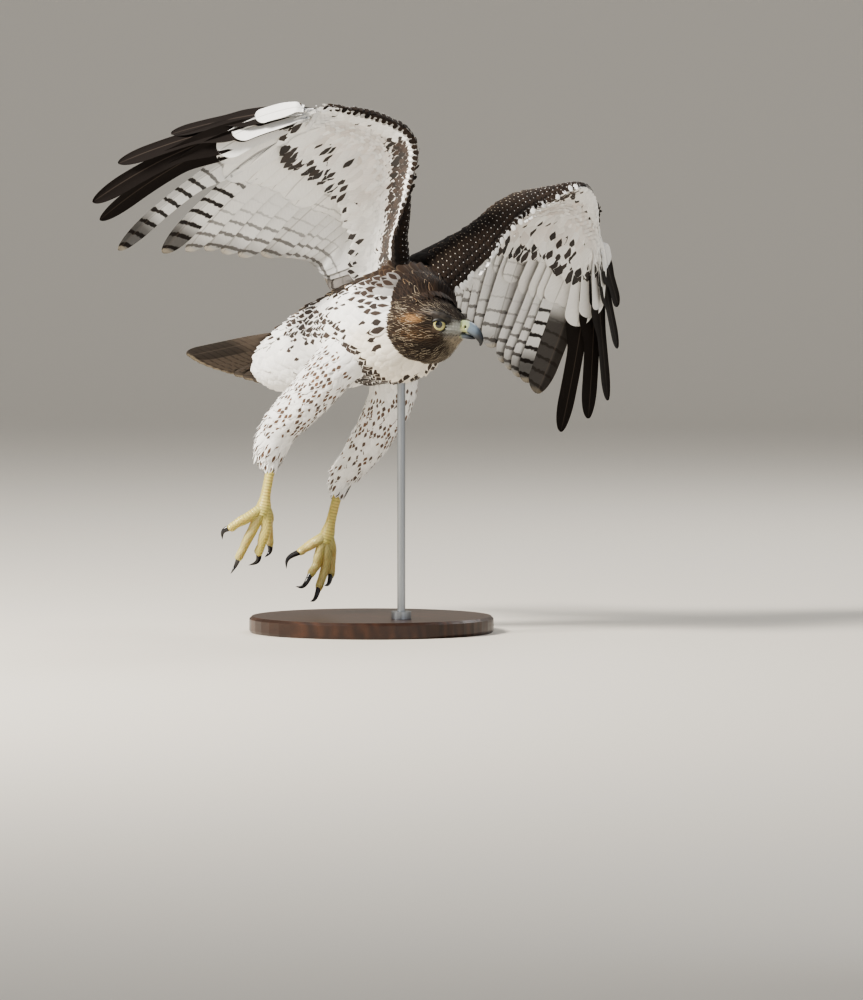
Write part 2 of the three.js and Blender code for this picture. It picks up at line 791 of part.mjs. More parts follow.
// Legs, left and right
for (const [name, leg] of Object.entries(LEGS)) {
  const { thigh, tarsus, toes, claws } = legSolids(leg, trunkGrown);
  bird.add(meshOf(`leg_${name}_thigh`, thigh, "mottled"), meshOf(`leg_${name}_tarsus`, tarsus, "scales"));
  toes.forEach((toe, k) => bird.add(meshOf(`toe_${name}_${k + 1}`, toe, "scales")));
  claws.forEach((claw, k) => bird.add(meshOf(`claw_${name}_${k + 1}`, claw, "horn")));
}

// Stand: a turned base, a collar and one rod up to the belly
const trunkInWorld = trunkGrown.transform(bird.matrix.elements);
const rodFull = geometrySolid(cylinderAt(ROD_RADIUS, BASE_HEIGHT + GAP, BODY_CENTRE[2], 16));
const rodPieces = rodFull.subtract(trunkInWorld).decompose();
const rod = rodPieces.reduce((low, piece) =>
  piece.boundingBox().min[2] < low.boundingBox().min[2] ? piece : low,
);
const collarRing = geometrySolid(
  cylinderAt(COLLAR_RADIUS, BASE_HEIGHT + GAP, BASE_HEIGHT + COLLAR_HEIGHT, 24),
).subtract(geometrySolid(cylinderAt(ROD_RADIUS + GAP, 0, BODY_CENTRE[2], 16)));

const model = new THREE.Group();
model.add(
  bird,
  meshOf("stand_base", baseGeometry(), "walnut"),
  meshOf("stand_collar", collarRing, "steel"),
  meshOf("stand_rod", rod, "steel"),
);

export default model;
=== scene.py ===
"""A red-tailed hawk in its first year, life size: plumage, bill, eyes, feet and display stand.

Shapes are worked out in millimetres in the bird's own body frame (x forward, y left, z up) and
placed in the model's frame, in metres, as each mesh is made.
"""

import json
import logging
import math
from dataclasses import dataclass, field, replace
from enum import Enum

import bpy
import numpy as np
from mathutils import Matrix, Vector
from mathutils.bvhtree import BVHTree
from mathutils.kdtree import KDTree

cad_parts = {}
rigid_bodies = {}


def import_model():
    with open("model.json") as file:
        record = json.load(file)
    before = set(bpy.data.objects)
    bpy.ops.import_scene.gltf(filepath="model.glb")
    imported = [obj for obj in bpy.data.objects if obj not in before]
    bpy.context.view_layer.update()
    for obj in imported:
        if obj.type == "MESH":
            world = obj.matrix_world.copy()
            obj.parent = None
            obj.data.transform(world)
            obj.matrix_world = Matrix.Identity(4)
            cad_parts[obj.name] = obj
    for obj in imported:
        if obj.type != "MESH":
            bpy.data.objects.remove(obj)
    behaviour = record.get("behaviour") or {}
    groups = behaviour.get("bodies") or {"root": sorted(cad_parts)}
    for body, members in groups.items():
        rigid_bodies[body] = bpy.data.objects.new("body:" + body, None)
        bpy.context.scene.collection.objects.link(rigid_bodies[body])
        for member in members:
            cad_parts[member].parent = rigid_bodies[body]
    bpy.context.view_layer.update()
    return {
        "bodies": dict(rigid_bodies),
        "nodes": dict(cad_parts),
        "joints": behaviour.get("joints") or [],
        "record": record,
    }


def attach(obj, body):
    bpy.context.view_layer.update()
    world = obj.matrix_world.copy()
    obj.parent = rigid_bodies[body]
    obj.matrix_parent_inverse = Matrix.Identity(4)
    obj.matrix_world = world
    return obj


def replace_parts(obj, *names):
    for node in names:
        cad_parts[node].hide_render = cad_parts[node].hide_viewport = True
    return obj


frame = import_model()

LOG = logging.getLogger("hawk")
MM = 0.001
ROW_BODY = "root"

Array = np.ndarray
Material = bpy.types.Material
Socket = bpy.types.NodeSocket
# Stations of a form: the parameter of each and its values
Keys = list[tuple[float, list[float]]]


def linear(hex_colour: str) -> Array:
    """Turns an sRGB hex colour into linear red, green, blue and alpha.

    Args:
        hex_colour: Six hex digits.

    Returns:
        Four floats, alpha 1.
    """
    srgb = np.array([int(hex_colour[i : i + 2], 16) / 255 for i in (0, 2, 4)])
    rgb = np.where(srgb <= 0.04045, srgb / 12.92, ((srgb + 0.055) / 1.055) ** 2.4)
    return np.append(rgb, 1.0)


class Tone(Enum):
    """Colours of the bird, its stand, painted shade in its nostrils and the light on it, as sRGB
    hex.
    """

    SOOT = "1d1714"
    BROWN = "30251d"
    WARM_BROWN = "44342a"
    GREY_BROWN = "655a51"
    BUFF = "b98f62"
    CREAM = "e2d4ba"
    WHITE = "f5f4f1"
    SILVER = "cbced1"
    LORE = "c9cbc4"
    RUST = "9c6a3c"
    PUPIL = "050506"
    IRIS = "bdb678"
    IRIS_SPOKE = "8f8a50"
    IRIS_RIM = "6f6a3a"
    EYE_RIM = "15120f"
    LID = "1f1e1c"
    HORN = "76838f"
    HORN_LOW = "1c1f24"
    HORN_POINT = "15171b"
    CERE = "b3b884"
    CERE_TOP = "9dab86"
    CERE_FRONT = "9aa7a8"
    # Painted shade of the nostrils' hollows
    NOSTRIL = "15130f"
    LOWER_BASE = "b3b87f"
    LOWER_HORN = "5c6570"
    LOWER_POINT = "1f2227"
    SCUTE = "d8c979"
    SCUTE_GROOVE = "85763f"
    SOLE = "c4b987"
    CLAW = "2c2a2b"
    CLAW_POINT = "0e0d0e"
    WALNUT_DARK = "2c1a11"
    WALNUT_LIGHT = "4a2d1c"
    WALNUT_CLOUD = "382216"
    WALNUT_PORE = "170d08"
    STEEL = "a9adb1"
    PAPER = "ded8cd"
    SKY = "e6e9ee"
    SUN = "fffaf2"
    SHADE_LIGHT = "e6edf7"
    PLAIN_LIGHT = "ffffff"


TONES = {tone: linear(tone.value) for tone in Tone}


def rgba(colour: Tone | Array) -> Array:
    """A tone's linear colour, or the colour itself."""
    return TONES[colour] if isinstance(colour, Tone) else colour


def blend(first: Tone | Array, second: Tone | Array, share: Array) -> Array:
    """Mixes two colours by a share from 0 to 1, over whole arrays."""
    share = np.clip(np.asarray(share, float), 0, 1)[..., None]
    return rgba(first) * (1 - share) + rgba(second) * share


def ramp(value: Array, low: float, high: float) -> Array:
    """Smooth step from 0 at low to 1 at high."""
    t = np.clip((np.asarray(value, float) - low) / (high - low), 0, 1)
    return t * t * (3 - 2 * t)


def hump(*spots: tuple[Array, float, float]) -> Array:
    """Bell curve, 1 in its middle, over one or more values, each with its middle and its width."""
    return np.exp(-sum(((value - middle) / width) ** 2 for value, middle, width in spots))


def through(keys: Keys, t: Array) -> Array:
    """Smooth values through keys: Hermite cubics whose slope at a key is its neighbours' chord's.

    Args:
        keys: Pairs of a parameter and a list of values.
        t: Parameters, of any shape.

    Returns:
        Values with one more axis than t.
    """
    at = np.array([key[0] for key in keys], float)
    values = np.array([key[1] for key in keys], float)
    t = np.asarray(t, float)
    i = np.clip(np.searchsorted(at, t, side="left") - 1, 0, len(at) - 2)
    before = np.maximum(np.arange(len(at)) - 1, 0)
    after = np.minimum(np.arange(len(at)) + 1, len(at) - 1)
    slopes = (values[after] - values[before]) / (at[after] - at[before])[:, None]
    width = (at[i + 1] - at[i])[..., None]
    u = (t - at[i])[..., None] / width
    return (
        (2 * u**3 - 3 * u**2 + 1) * values[i]
        + (u**3 - 2 * u**2 + u) * width * slopes[i]
        + (3 * u**2 - 2 * u**3) * values[i + 1]
        + (u**3 - u**2) * width * slopes[i + 1]
    )


def unit(vectors: Array) -> Array:
    """Scales vectors on the last axis to length 1."""
    return vectors / np.maximum(np.linalg.norm(vectors, axis=-1, keepdims=True), 1e-9)


def square_to(vectors: Array, line: Array) -> Array:
    """Directions of vectors without their part along a line of unit vectors."""
    return unit(vectors - line * np.sum(vectors * line, -1, keepdims=True))


def travel(line: Array) -> Array:
    """Distance travelled along a line at each of its points."""
    return np.append(0, np.cumsum(np.linalg.norm(np.diff(line, axis=0), axis=1)))


def circle(count: int) -> Array:
    """Angles of evenly spaced points round a ring."""
    return np.linspace(0, 2 * np.pi, count, endpoint=False)


@dataclass(frozen=True)
class Attitude:
    """A right-handed frame held at a place in the model's frame."""

    matrix: Matrix

    def world(self, points: Array) -> Array:
        """Points in millimetres in this frame, as metres in the model's frame."""
        array = np.array(self.matrix)
        return (points @ array[:3, :3].T + array[:3, 3]) * MM

    def turn(self, vectors: Array) -> Array:
        """Directions in this frame, as directions in the model's frame."""
        return vectors @ np.array(self.matrix)[:3, :3].T


UNWRAP_MARGIN, UNWRAP_SCALE = 0.01, 0.31

BODY_PITCH_UP = 13.0
BODY_ROLL_LEFT_DOWN = 18.0
BODY_CENTRE = (22.0, -6.0, 332.0)
HEAD_CENTRE = (112.0, 2.0, -16.0)
HEAD_TURN_LEFT = 33.0
HEAD_NOD_DOWN = 2.0

_pitch = Matrix.Rotation(math.radians(-BODY_PITCH_UP), 4, "Y")
_roll = Matrix.Rotation(math.radians(-BODY_ROLL_LEFT_DOWN), 4, "X")
BODY = Attitude(Matrix.Translation(BODY_CENTRE) @ _pitch @ _roll)
_head_place = BODY.matrix @ Vector(HEAD_CENTRE)
_head_turn = Matrix.Rotation(math.radians(HEAD_TURN_LEFT), 4, "Z")
_head_nod = Matrix.Rotation(math.radians(HEAD_NOD_DOWN), 4, "Y")
HEAD = Attitude(Matrix.Translation(_head_place) @ _head_turn @ _head_nod)


# Trunk stations: x, height of the middle, half width, reach up, reach down
TRUNK: Keys = [
    (-224, [0, 8, 6, 8]), (-214, [0, 23, 16, 19]), (-188, [0, 35, 26, 29]), (-160, [0, 41, 37, 36]),
    (-125, [1, 46, 45, 43]), (-85, [2, 51, 52, 48]), (-40, [2, 56, 57, 52]), (5, [1, 60, 60, 59]),
    (45, [2, 59, 61, 64]), (72, [4, 51, 57, 60]), (90, [5, 37, 42, 49]), (98, [5, 18, 20, 30]),
]
# Head stations along the bill's axis, in the head's own frame, as for the trunk
HEAD_STATIONS: Keys = [
    (-45, [2, 10, 10, 10]), (-40, [1, 24, 22, 24]), (-28, [0, 33, 31, 34]), (-12, [0, 35, 34, 39]),
    (4, [0, 33.5, 32, 40]), (18, [0, 28.5, 26, 34]), (28, [1, 20.5, 17, 23]),
    (35, [0, 13.5, 11.5, 13.5]), (38, [-0.5, 8, 8, 8]),
]
# Neck stations: x, then centre y, z and radius
NECK: Keys = [
    (50, [0, 16, 42]), (72, [0, 12, 43]), (92, [0, 2, 39]), (103, [0, -8, 33]),
]
# Feathered thighs: share of the way from hip to heel, then x, y, z, radius across and radius along
THIGHS: dict[str, Keys] = {
    "right": [
        (0.0, [6, -24, -24, 24, 33]), (0.2, [-14, -38, -48, 24, 30]),
        (0.45, [-52, -46, -80, 22, 26]), (0.7, [-88, -50, -104, 20, 21]),
        (0.88, [-105, -50, -126, 16.5, 18]), (1.0, [-110, -47, -148, 8.5, 9.5]),
    ],
    "left": [
        (0.0, [6, 24, -24, 24, 33]), (0.2, [-14, 38, -50, 24, 31]),
        (0.45, [-47, 47, -82, 21.5, 25]), (0.7, [-83, 51, -108, 18, 19.5]),
        (0.88, [-108, 50, -126, 13.5, 15]), (1.0, [-120, 50, -145, 8.5, 9.5]),
    ],
}


class RingKind(Enum):
    """What a form's keys hold, as the comments on the tables say."""

    STATIONS = "upright rings of trunk and head"
    NECK = "round rings square to the neck's line"
    LIMB = "oval rings square to a limb's line"


@dataclass(frozen=True)
class Rings:
    """A round form: a smooth tube with a way along it and an angle round it.

    The angle is 0 towards the left, and 90 degrees towards the back (or, on a leg, the front).
    """

    keys: Keys
    kind: RingKind = RingKind.STATIONS

    def span(self) -> tuple[float, float]:
        """First and last parameter."""
        return self.keys[0][0], self.keys[-1][0]

    def at(self, t: Array, angle: Array) -> Array:
        """Points of the surface: an ellipse round the form's middle with its own reach up and down.

        Args:
            t: Way along, in the keys' own unit.
            angle: Radians round the ring.

        Returns:
            Points in millimetres in this form's frame.
        """
        t, angle = np.broadcast_arrays(np.asarray(t, float), np.asarray(angle, float))
        v = through(self.keys, np.clip(t, *self.span()))
        cos, sin = np.cos(angle), np.sin(angle)
        if self.kind is RingKind.STATIONS:
            reach = np.where(sin > 0, v[..., 2], v[..., 3])
            return np.stack([t, cos * v[..., 1], v[..., 0] + sin * reach], -1)
        if self.kind is RingKind.NECK:
            step = 0.5
            ahead = through(self.keys, np.clip(t + step, *self.span()))
            slope = (ahead[..., 1] - v[..., 1]) / step
            tip = sin * v[..., 2] / np.sqrt(1 + slope**2)
            return np.stack([t - slope * tip, v[..., 0] + cos * v[..., 2], v[..., 1] + tip], -1)
        across, front = self.axes(t)
        beside = across * (cos * v[..., 3])[..., None]
        return v[..., :3] + beside + front * (sin * v[..., 4])[..., None]

    def axes(self, t: Array) -> tuple[Array, Array]:
        """Directions across a limb and towards its front."""
        low, high = self.span()
        step = 0.01 * (high - low)
        ahead = through(self.keys, np.clip(t + step, low, high))[..., :3]
        behind = through(self.keys, np.clip(t - step, low, high))[..., :3]
        along = unit(ahead - behind)
        side = np.zeros_like(along)
        side[..., 1] = 1
        across = unit(side - along * along[..., 1:2])
        return across, np.cross(across, along)

    def grid(self, rows: int, sides: int) -> Array:
        """Rows of rings over the whole form, closer together at both ends."""
        low, high = self.span()
        share = 0.5 - 0.5 * np.cos(np.linspace(0, np.pi, rows))
        t = low + (high - low) * share
        return self.at(t[:, None], circle(sides)[None, :])


# Wings: span is 0 at the shoulder, 1 at the wrist and 2 at the end of the hand
LEFT_LEADING: Keys = [
    (-0.1, [84, 20, 8]), (0, [96, 34, 26]), (0.3, [110, 64, 70]), (0.6, [119, 94, 122]),
    (0.8, [121, 125, 157]), (1.0, [127, 156, 188]), (1.12, [122, 172, 194]),
    (1.35, [104, 194, 190]), (2, [56, 232, 170]),
]
LEFT_TIPS: Keys = [
    (0, [-84, 38, 74]), (0.25, [-74, 92, 82]), (0.5, [-70, 142, 80]), (0.8, [-78, 180, 66]),
    (1, [-90, 212, 54]), (1.05, [-94, 222, 50]), (1.25, [-98, 246, 42]), (1.45, [-100, 275, 32]),
    (1.55, [-106, 316, 0]), (1.65, [-86, 336, 18]), (1.75, [-68, 345, 38]), (1.85, [-40, 330, 90]),
    (1.95, [-8, 303, 126]),
]
LEFT_ARCH: Keys = [
    (0, [0.2]), (0.4, [0.26]), (0.7, [0.26]), (1, [0.12]), (1.2, [0.07]), (2, [0.04]),
]
RIGHT_LEADING: Keys = [
    (-0.1, [60, -18, 22]), (0, [72, -30, 36]), (0.3, [83, -47, 80]), (0.65, [107, -47, 132]),
    (0.9, [124, -53, 168]), (1.05, [123, -68, 186]), (1.3, [111, -101, 196]), (2, [90, -176, 196]),
]
RIGHT_TIPS: Keys = [
    (0, [-84, -26, 76]), (0.25, [-92, -32, 88]), (0.5, [-98, -49, 95]), (0.8, [-98, -86, 86]),
    (1, [-94, -118, 72]), (1.05, [-90, -136, 66]), (1.25, [-88, -182, 60]), (1.45, [-84, -238, 40]),
    (1.55, [-84, -293, 26]), (1.65, [-72, -328, 48]), (1.75, [-62, -345, 60]),
    (1.85, [-43, -330, 103]), (1.95, [-22, -281, 147]),
]
RIGHT_ARCH: Keys = [(0, [0.13]), (0.6, [0.13]), (1.2, [0.09]), (2, [0.05])]
# Flesh and small coverts: span, then depth from the leading edge and half thickness at the front
WING_CORE: Keys = [
    (-0.1, [96, 17]), (0.1, [98, 14]), (0.5, [92, 10]), (0.9, [76, 8.5]), (1.1, [62, 8]),
    (1.5, [50, 6.5]), (1.9, [34, 4.5]),
]
CORE_REAR_HALF = 3.4
CORE_ROUND_SHARE = 0.3
CORE_SPAN = (-0.1, 1.95)
# Makes the highest value of sqrt(share) * (1 - share) about 1
ARCH_SCALE = 2.6
LEADING_MM_PER_SPAN = 100


@dataclass(frozen=True)
class WingForm:
    """The wing as a surface: span from shoulder to hand, and distance behind the leading edge.

    The side is 1 for the left and -1 for the right. The sweep is the outward bow of the primaries
    as a share of their length. The first finger is the span where the dark primaries begin; it lies
    further in on the left wing, whose extra dark primaries and tips are painted shade of its
    underside.
    """

    side: int
    leading: Keys
    tips: Keys
    arch: Keys
    sweep: float
    first_finger: float

    def axes(self, span: Array) -> dict[str, Array]:
        """The chord at a span: front edge, direction, length, upper normal, outward side, arch."""
        span = np.asarray(span, float)
        beyond = np.maximum(span, 0)
        edge = through(self.leading, span)
        tip = through(self.tips, beyond)
        chord = tip - edge
        length = np.linalg.norm(chord, axis=-1)
        direction = chord / length[..., None]
        step = 0.02
        along = unit(through(self.leading, span + step) - edge)
        spread = along * (step * LEADING_MM_PER_SPAN) + through(self.tips, beyond + step) - tip
        normal = unit(np.cross(spread, direction)) * self.side
        across = np.cross(direction, normal) * self.side
        arch = np.maximum(through(self.arch, beyond)[..., 0], 0)
        return {
            "edge": edge, "direction": direction, "length": length,
            "normal": normal, "across": across, "arch": arch,
        }

    def rise(self, axes: dict[str, Array], distance: Array) -> Array:
        """Height of the arched surface over the straight chord: steep in front, flat behind."""
        share = np.clip(distance / axes["length"], 0, 1)
        return axes["arch"] * axes["length"] * ARCH_SCALE * np.sqrt(share) * (1 - share)

    def at(self, span: Array, share: Array, face: Array) -> Array:
        """Points of the fleshy part's surface, whose front is round and whose rear is blunt.

        Args:
            span: Way out along the wing.
            share: Share of the flesh's depth behind the leading edge.
            face: 1 for the upper face and -1 for the lower one.

        Returns:
            Points in millimetres in the body's frame.
        """
        given = (np.asarray(values, float) for values in (span, share, face))
        span, share, face = np.broadcast_arrays(*given)
        axes = self.axes(span)
        core = through(WING_CORE, span)
        front = np.sqrt(np.maximum(1 - (1 - np.minimum(share / CORE_ROUND_SHARE, 1)) ** 2, 0))
        rear = np.clip((share - CORE_ROUND_SHARE) / 0.7, 0, 1)
        thick = face * (core[..., 1] * front * (1 - rear) + CORE_REAR_HALF * rear)
        distance = share * core[..., 0]
        lift = self.rise(axes, distance) + thick
        back = axes["direction"] * distance[..., None]
        return axes["edge"] + back + axes["normal"] * lift[..., None]

    def grid(self, rows: int, sides: int) -> Array:
        """Closed loops round the flesh, from the shoulder to the end of the hand."""
        turn = circle(sides)
        share = 0.5 - 0.5 * np.cos(turn)
        face = np.where(turn < np.pi, 1.0, -1.0)
        span = np.linspace(*CORE_SPAN, rows)
        return self.at(span[:, None], share[None, :], face[None, :])


WINGS = {
    # The left wing's dark primaries begin further in than the right's: the extra dark is painted
    # shade
    "left": WingForm(1, LEFT_LEADING, LEFT_TIPS, LEFT_ARCH, 0.02, 1.4),
    "right": WingForm(-1, RIGHT_LEADING, RIGHT_TIPS, RIGHT_ARCH, 0.06, 1.54),
}


@dataclass
class Surface:
    """A mesh being put together: points in metres, faces, and what is painted on them."""

    points: list[Array] = field(default_factory=list)
    quads: list[Array] = field(default_factory=list)
    triangles: list[Array] = field(default_factory=list)
    maps: dict[str, list[Array]] = field(default_factory=dict)
    paints: dict[str, list[Array]] = field(default_factory=dict)
    count: int = 0

    def add(
        self,
        points: Array,
        quads: Array,
        triangles: Array | None = None,
        maps: dict[str, Array] | None = None,
        paints: dict[str, Array] | None = None,
    ) -> None:
        """Adds a stretch of points and faces.

        Args:
            points: Points in metres, of any leading shape.
            quads: Faces of four indices into these points.
            triangles: Faces of three, or none.
            maps: UV coordinates of each point by map name.
            paints: Colour of each point by attribute name.
        """
        flat = points.reshape(-1, 3)
        self.points.append(flat)
        self.quads.append(quads.reshape(-1, 4) + self.count)
        if triangles is not None:
            self.triangles.append(triangles.reshape(-1, 3) + self.count)
        for name, values in (maps or {}).items():
            self.maps.setdefault(name, []).append(values.reshape(-1, 2))
        for name, values in (paints or {}).items():
            self.paints.setdefault(name, []).append(values.reshape(-1, 4))
        self.count += len(flat)

    def make(self, name: str, material: Material, slot: str) -> bpy.types.Object:
        """Makes the object, smooth shaded, with its maps and paints.

        Args:
            name: The piece's name.
            material: Its only material.
            slot: The record's material slot; not used.

        Returns:
            The linked object, riding on the bird.
        """
        points = np.concatenate(self.points).astype(np.float32)
        quads = np.concatenate(self.quads) if self.quads else np.zeros((0, 4), int)
        triangles = np.concatenate(self.triangles) if self.triangles else np.zeros((0, 3), int)
        corners = np.concatenate([quads.ravel(), triangles.ravel()]).astype(np.int32)
        starts = np.concatenate(
            [np.arange(len(quads)) * 4, quads.size + np.arange(len(triangles)) * 3]
        ).astype(np.int32)
        mesh = bpy.data.meshes.new(name)
        mesh.vertices.add(len(points))
        mesh.vertices.foreach_set("co", points.ravel())
        mesh.loops.add(len(corners))
        mesh.loops.foreach_set("vertex_index", corners)
        mesh.polygons.add(len(starts))
        mesh.polygons.foreach_set("loop_start", starts)
        for label, parts in self.maps.items():
            layer = mesh.uv_layers.new(name=label)
            flat = np.concatenate(parts)[corners].astype(np.float32).ravel()
            layer.uv.foreach_set("vector", flat)
        for label, parts in self.paints.items():
            paint = mesh.attributes.new(label, "FLOAT_COLOR", "POINT")
            paint.data.foreach_set("color", np.concatenate(parts).astype(np.float32).ravel())
        mesh.update(calc_edges=True)
        mesh.validate()
        mesh.polygons.foreach_set("use_smooth", np.ones(len(mesh.polygons), bool))
        mesh.materials.append(material)
        piece = bpy.data.objects.new(name, mesh)
        bpy.context.scene.collection.objects.link(piece)
        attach(piece, ROW_BODY)
        LOG.info("%s: %d faces", name, len(mesh.polygons))
        return piece


def tube_faces(rows: int, sides: int) -> tuple[Array, Array]:
    """Faces of a tube of rings with a pole at each end, the two points after the rings.

    Args:
        rows: Number of rings.
        sides: Points in a ring.

    Returns:
        Quads and triangles.
    """
    ring = np.arange(sides)
    after = (ring + 1) % sides
    base = np.arange(rows - 1)[:, None] * sides
    quads = np.stack([base + ring, base + after, base + after + sides, base + ring + sides], -1)
    last = (rows - 1) * sides
    first_cap = np.stack([after, ring, np.full(sides, rows * sides)], -1)
    last_cap = np.stack([last + ring, last + after, np.full(sides, rows * sides + 1)], -1)
    return quads.reshape(-1, 4), np.concatenate([first_cap, last_cap])


def outward(
    points: Array, quads: Array, triangles: Array
) -> tuple[Array, Array]:
    """Turns faces round where the closed shape's signed volume is below zero."""
    fan = np.concatenate([quads[:, [0, 1, 2]], quads[:, [0, 2, 3]], triangles])
    a, b, c = (points[fan[:, k]] for k in range(3))
    volume = np.einsum("ij,ij->i", a, np.cross(b, c)).sum()
    return (quads[:, ::-1], triangles[:, ::-1]) if volume < 0 else (quads, triangles)


def with_poles(rows: Array) -> Array:
    """Values of a grid as one list, with the means of its first and last row at the end."""
    ends = np.stack([rows[0].mean(0), rows[-1].mean(0)])
    return np.concatenate([rows.reshape(-1, rows.shape[-1]), ends])


def patch_grid(rows: int, sides: int, along: Array | None = None) -> Array:
    """Places from 0 to 1 along and round a grid of rows and sides."""
    along = np.linspace(0, 1, rows) if along is None else along
    return np.stack(np.meshgrid(along, np.linspace(0, 1, sides), indexing="ij"), -1)


def with_alpha(colours: Array, alpha: Array, shape: tuple[int, ...]) -> Array:
    """Colours spread over a grid of a shape, with a share in place of their alpha."""
    spread = np.broadcast_to(colours, (*shape, 4)).copy()
    spread[..., 3] = alpha
    return spread


def closed_tube(
    surface: Surface,
    rings: Array,
    frame: Attitude,
    paints: dict[str, Array] | None = None,
    patch: tuple[float, ...] = (0, 0, 1, 1),
    along: Array | None = None,
    vane: Array | None = None,
) -> None:
    """Adds a tube of rings closed by a pole at each end's middle.

    Args:
        surface: Mesh that takes it.
        rings: Points in millimetres, rows by sides by 3.
        frame: Frame of the points.
        paints: Colours of the same rows and sides.
        patch: Lowest and highest corner of its place on the bake map.
        along: Share of the length at each row, where rows are not evenly spaced.
        vane: Map of the feather's vane, of the same rows and sides.
    """
    rows, sides = rings.shape[:2]
    points = with_poles(rings)
    quads, triangles = outward(points, *tube_faces(rows, sides))
    uv = np.concatenate([patch_grid(rows, sides, along).reshape(-1, 2), [[0, 0.5], [1, 0.5]]])
    low, high = np.array(patch[:2]), np.array(patch[2:])
    maps = {"OFBake": low + uv * (high - low)}
    if vane is not None:
        maps["Vane"] = with_poles(vane)
    painted = {label: with_poles(colours) for label, colours in (paints or {}).items()}
    surface.add(frame.world(points), quads, triangles, maps, painted)


class PerFeather:
    """Arrays with one row for each feather."""

    def keep(self, mask: Array) -> "PerFeather":
        """The feathers that a mask picks."""
        picked = {name: getattr(self, name)[mask] for name in self.__dataclass_fields__}
        return replace(self, **picked)


@dataclass
class Marking(PerFeather):
    """How a set of feathers is coloured."""

    tint: Array
    tip_tint: Array
    ink: Array
    edge: Array
    drop_width: Array
    drop_start: Array
    drop_end: Array
    ink_share: Array
    edge_share: Array

    @classmethod
    def plain(cls, count: int, tint: Tone) -> "Marking":
        """Feathers of one tone with no drop and no margin, to be changed where marks fall."""
        tint, ink, edge = (
            np.broadcast_to(rgba(tone), (count, 4)).copy() for tone in (tint, Tone.SOOT, Tone.CREAM)
        )
        drop = (np.full(count, share) for share in (0.5, 0.3, 1.1))
        return cls(tint, tint.copy(), ink, edge, *drop, np.zeros(count), np.zeros(count))


@dataclass
class Roots(PerFeather):
    """Where small feathers grow, how they lie, and how long and wide they are."""

    place: Array
    normal: Array
    flow: Array
    uv: Array
    length: Array
    width: Array

    def moved(self, attitude: Attitude) -> tuple["Roots", Array]:
        """All the feathers in millimetres in the model's frame, and a mask that keeps them all."""
        place = attitude.world(self.place) / MM
        normal, flow = attitude.turn(self.normal), attitude.turn(self.flow)
        return replace(self, place=place, normal=normal, flow=flow), np.ones(len(place), bool)


# Side of a small feather's own patch on the bake map
VANE_PATCH = 0.003


@dataclass(frozen=True)
class ContourFeathers:
    """Small body feathers: cupped vanes that lie back along the coat."""

    rows: int = 6
    columns: int = 5
    lift_degrees: float = 7.0
    cup: float = 0.16
    droop: float = 0.04
    sink: float = 0.7
    pointed: float = 0.0
    ruffle: float = 1.0

    def lay(
        self, surface: Surface, roots: Roots, marking: Marking, frame: Attitude, seed: int
    ) -> None:
        """Adds one vane for each root.

        Each vane is a grid of a way along, s, and a way across, u. Its height is a straight lift
        that falls off with the square of s, less a cup that grows with the square of u. Its half
        width rises as a quarter sine to the middle and closes as an ellipse, or as a point.

        Args:
            surface: Mesh that takes the vanes.
            roots: Their places, in the frame's millimetres.
            marking: Their colours.
            frame: Frame of the roots.
            seed: Seed of the small differences between vanes.
        """
        n = len(roots.place)
        if n == 0:
            return
        rng = np.random.default_rng(seed)
        s = np.linspace(0, 1, self.rows)[None, :, None]
        u = np.linspace(-1, 1, self.columns)[None, None, :]
        wave = rng.normal(0, 1, (n, 3, 1, 1)) * self.ruffle
        length = (roots.length * (1 + 0.07 * wave[:, 0, 0, 0]))[:, None, None]
        half = (roots.width / 2)[:, None, None]
        body = 0.45 + 0.55 * np.sin(np.minimum(s / 0.5, 1) * np.pi / 2)
        tip = np.sqrt(np.clip(1 - (np.maximum(s - 0.55, 0) / 0.45) ** 2, 0.012, 1))
        point = 1 - np.maximum(s - 0.3, 0) / 0.7 * 0.9
        profile = body * (tip * (1 - self.pointed) + self.pointed * point)
        lift = np.radians(self.lift_degrees + 1.6 * wave[:, 1])
        ahead = length * s * np.cos(lift)
        cup = half * self.cup * profile * u**2
        height = length * (s * np.sin(lift) - self.droop * s**2) - cup - self.sink
        side_step = half * profile * u
        turn = 0.07 * wave[:, 2]
        flow = square_to(roots.flow, roots.normal)
        side = np.cross(roots.normal, flow)
        flow, side = flow[:, None, None, :], side[:, None, None, :]
        along = flow * np.cos(turn)[..., None] + side * np.sin(turn)[..., None]
        beside = side * np.cos(turn)[..., None] - flow * np.sin(turn)[..., None]
        points = (
            roots.place[:, None, None, :]
            + along * ahead[..., None]
            + beside * side_step[..., None]
            + roots.normal[:, None, None, :] * height[..., None]
        )
        shape = points.shape[:3]
        index = np.arange(np.prod(shape)).reshape(shape)
        near, far = index[:, :-1], index[:, 1:]
        quads = np.stack([near[..., :-1], far[..., :-1], far[..., 1:], near[..., 1:]], -1)
        along_v = np.broadcast_to(s, shape)
        vane = np.stack([np.broadcast_to(u * 0.5 + 0.5, shape), along_v], -1)
        bake = roots.uv[:, None, None, :] * (1 - VANE_PATCH) + VANE_PATCH * vane
        tint = blend(marking.tint[:, None, None, :], marking.tip_tint[:, None, None, :], along_v)
        shade = (1 + 0.05 * rng.normal(0, 1, (n, 1, 1)))[..., None]
        tint = np.concatenate([np.clip(tint[..., :3] * shade, 0, 1), tint[..., 3:]], -1)
        ink = with_alpha(marking.ink[:, None, None, :], marking.ink_share[:, None, None], shape)
        edge = with_alpha(marking.edge[:, None, None, :], marking.edge_share[:, None, None], shape)
        drops = np.stack([marking.drop_width, marking.drop_start, marking.drop_end], -1)
        drop = np.zeros((*shape, 4))
        drop[..., :3] = drops[:, None, None, :]
        paints = {"Tint": tint, "Ink": ink, "Edge": edge, "Drop": drop}
        surface.add(frame.world(points), quads, None, {"OFBake": bake, "Vane": vane}, paints)


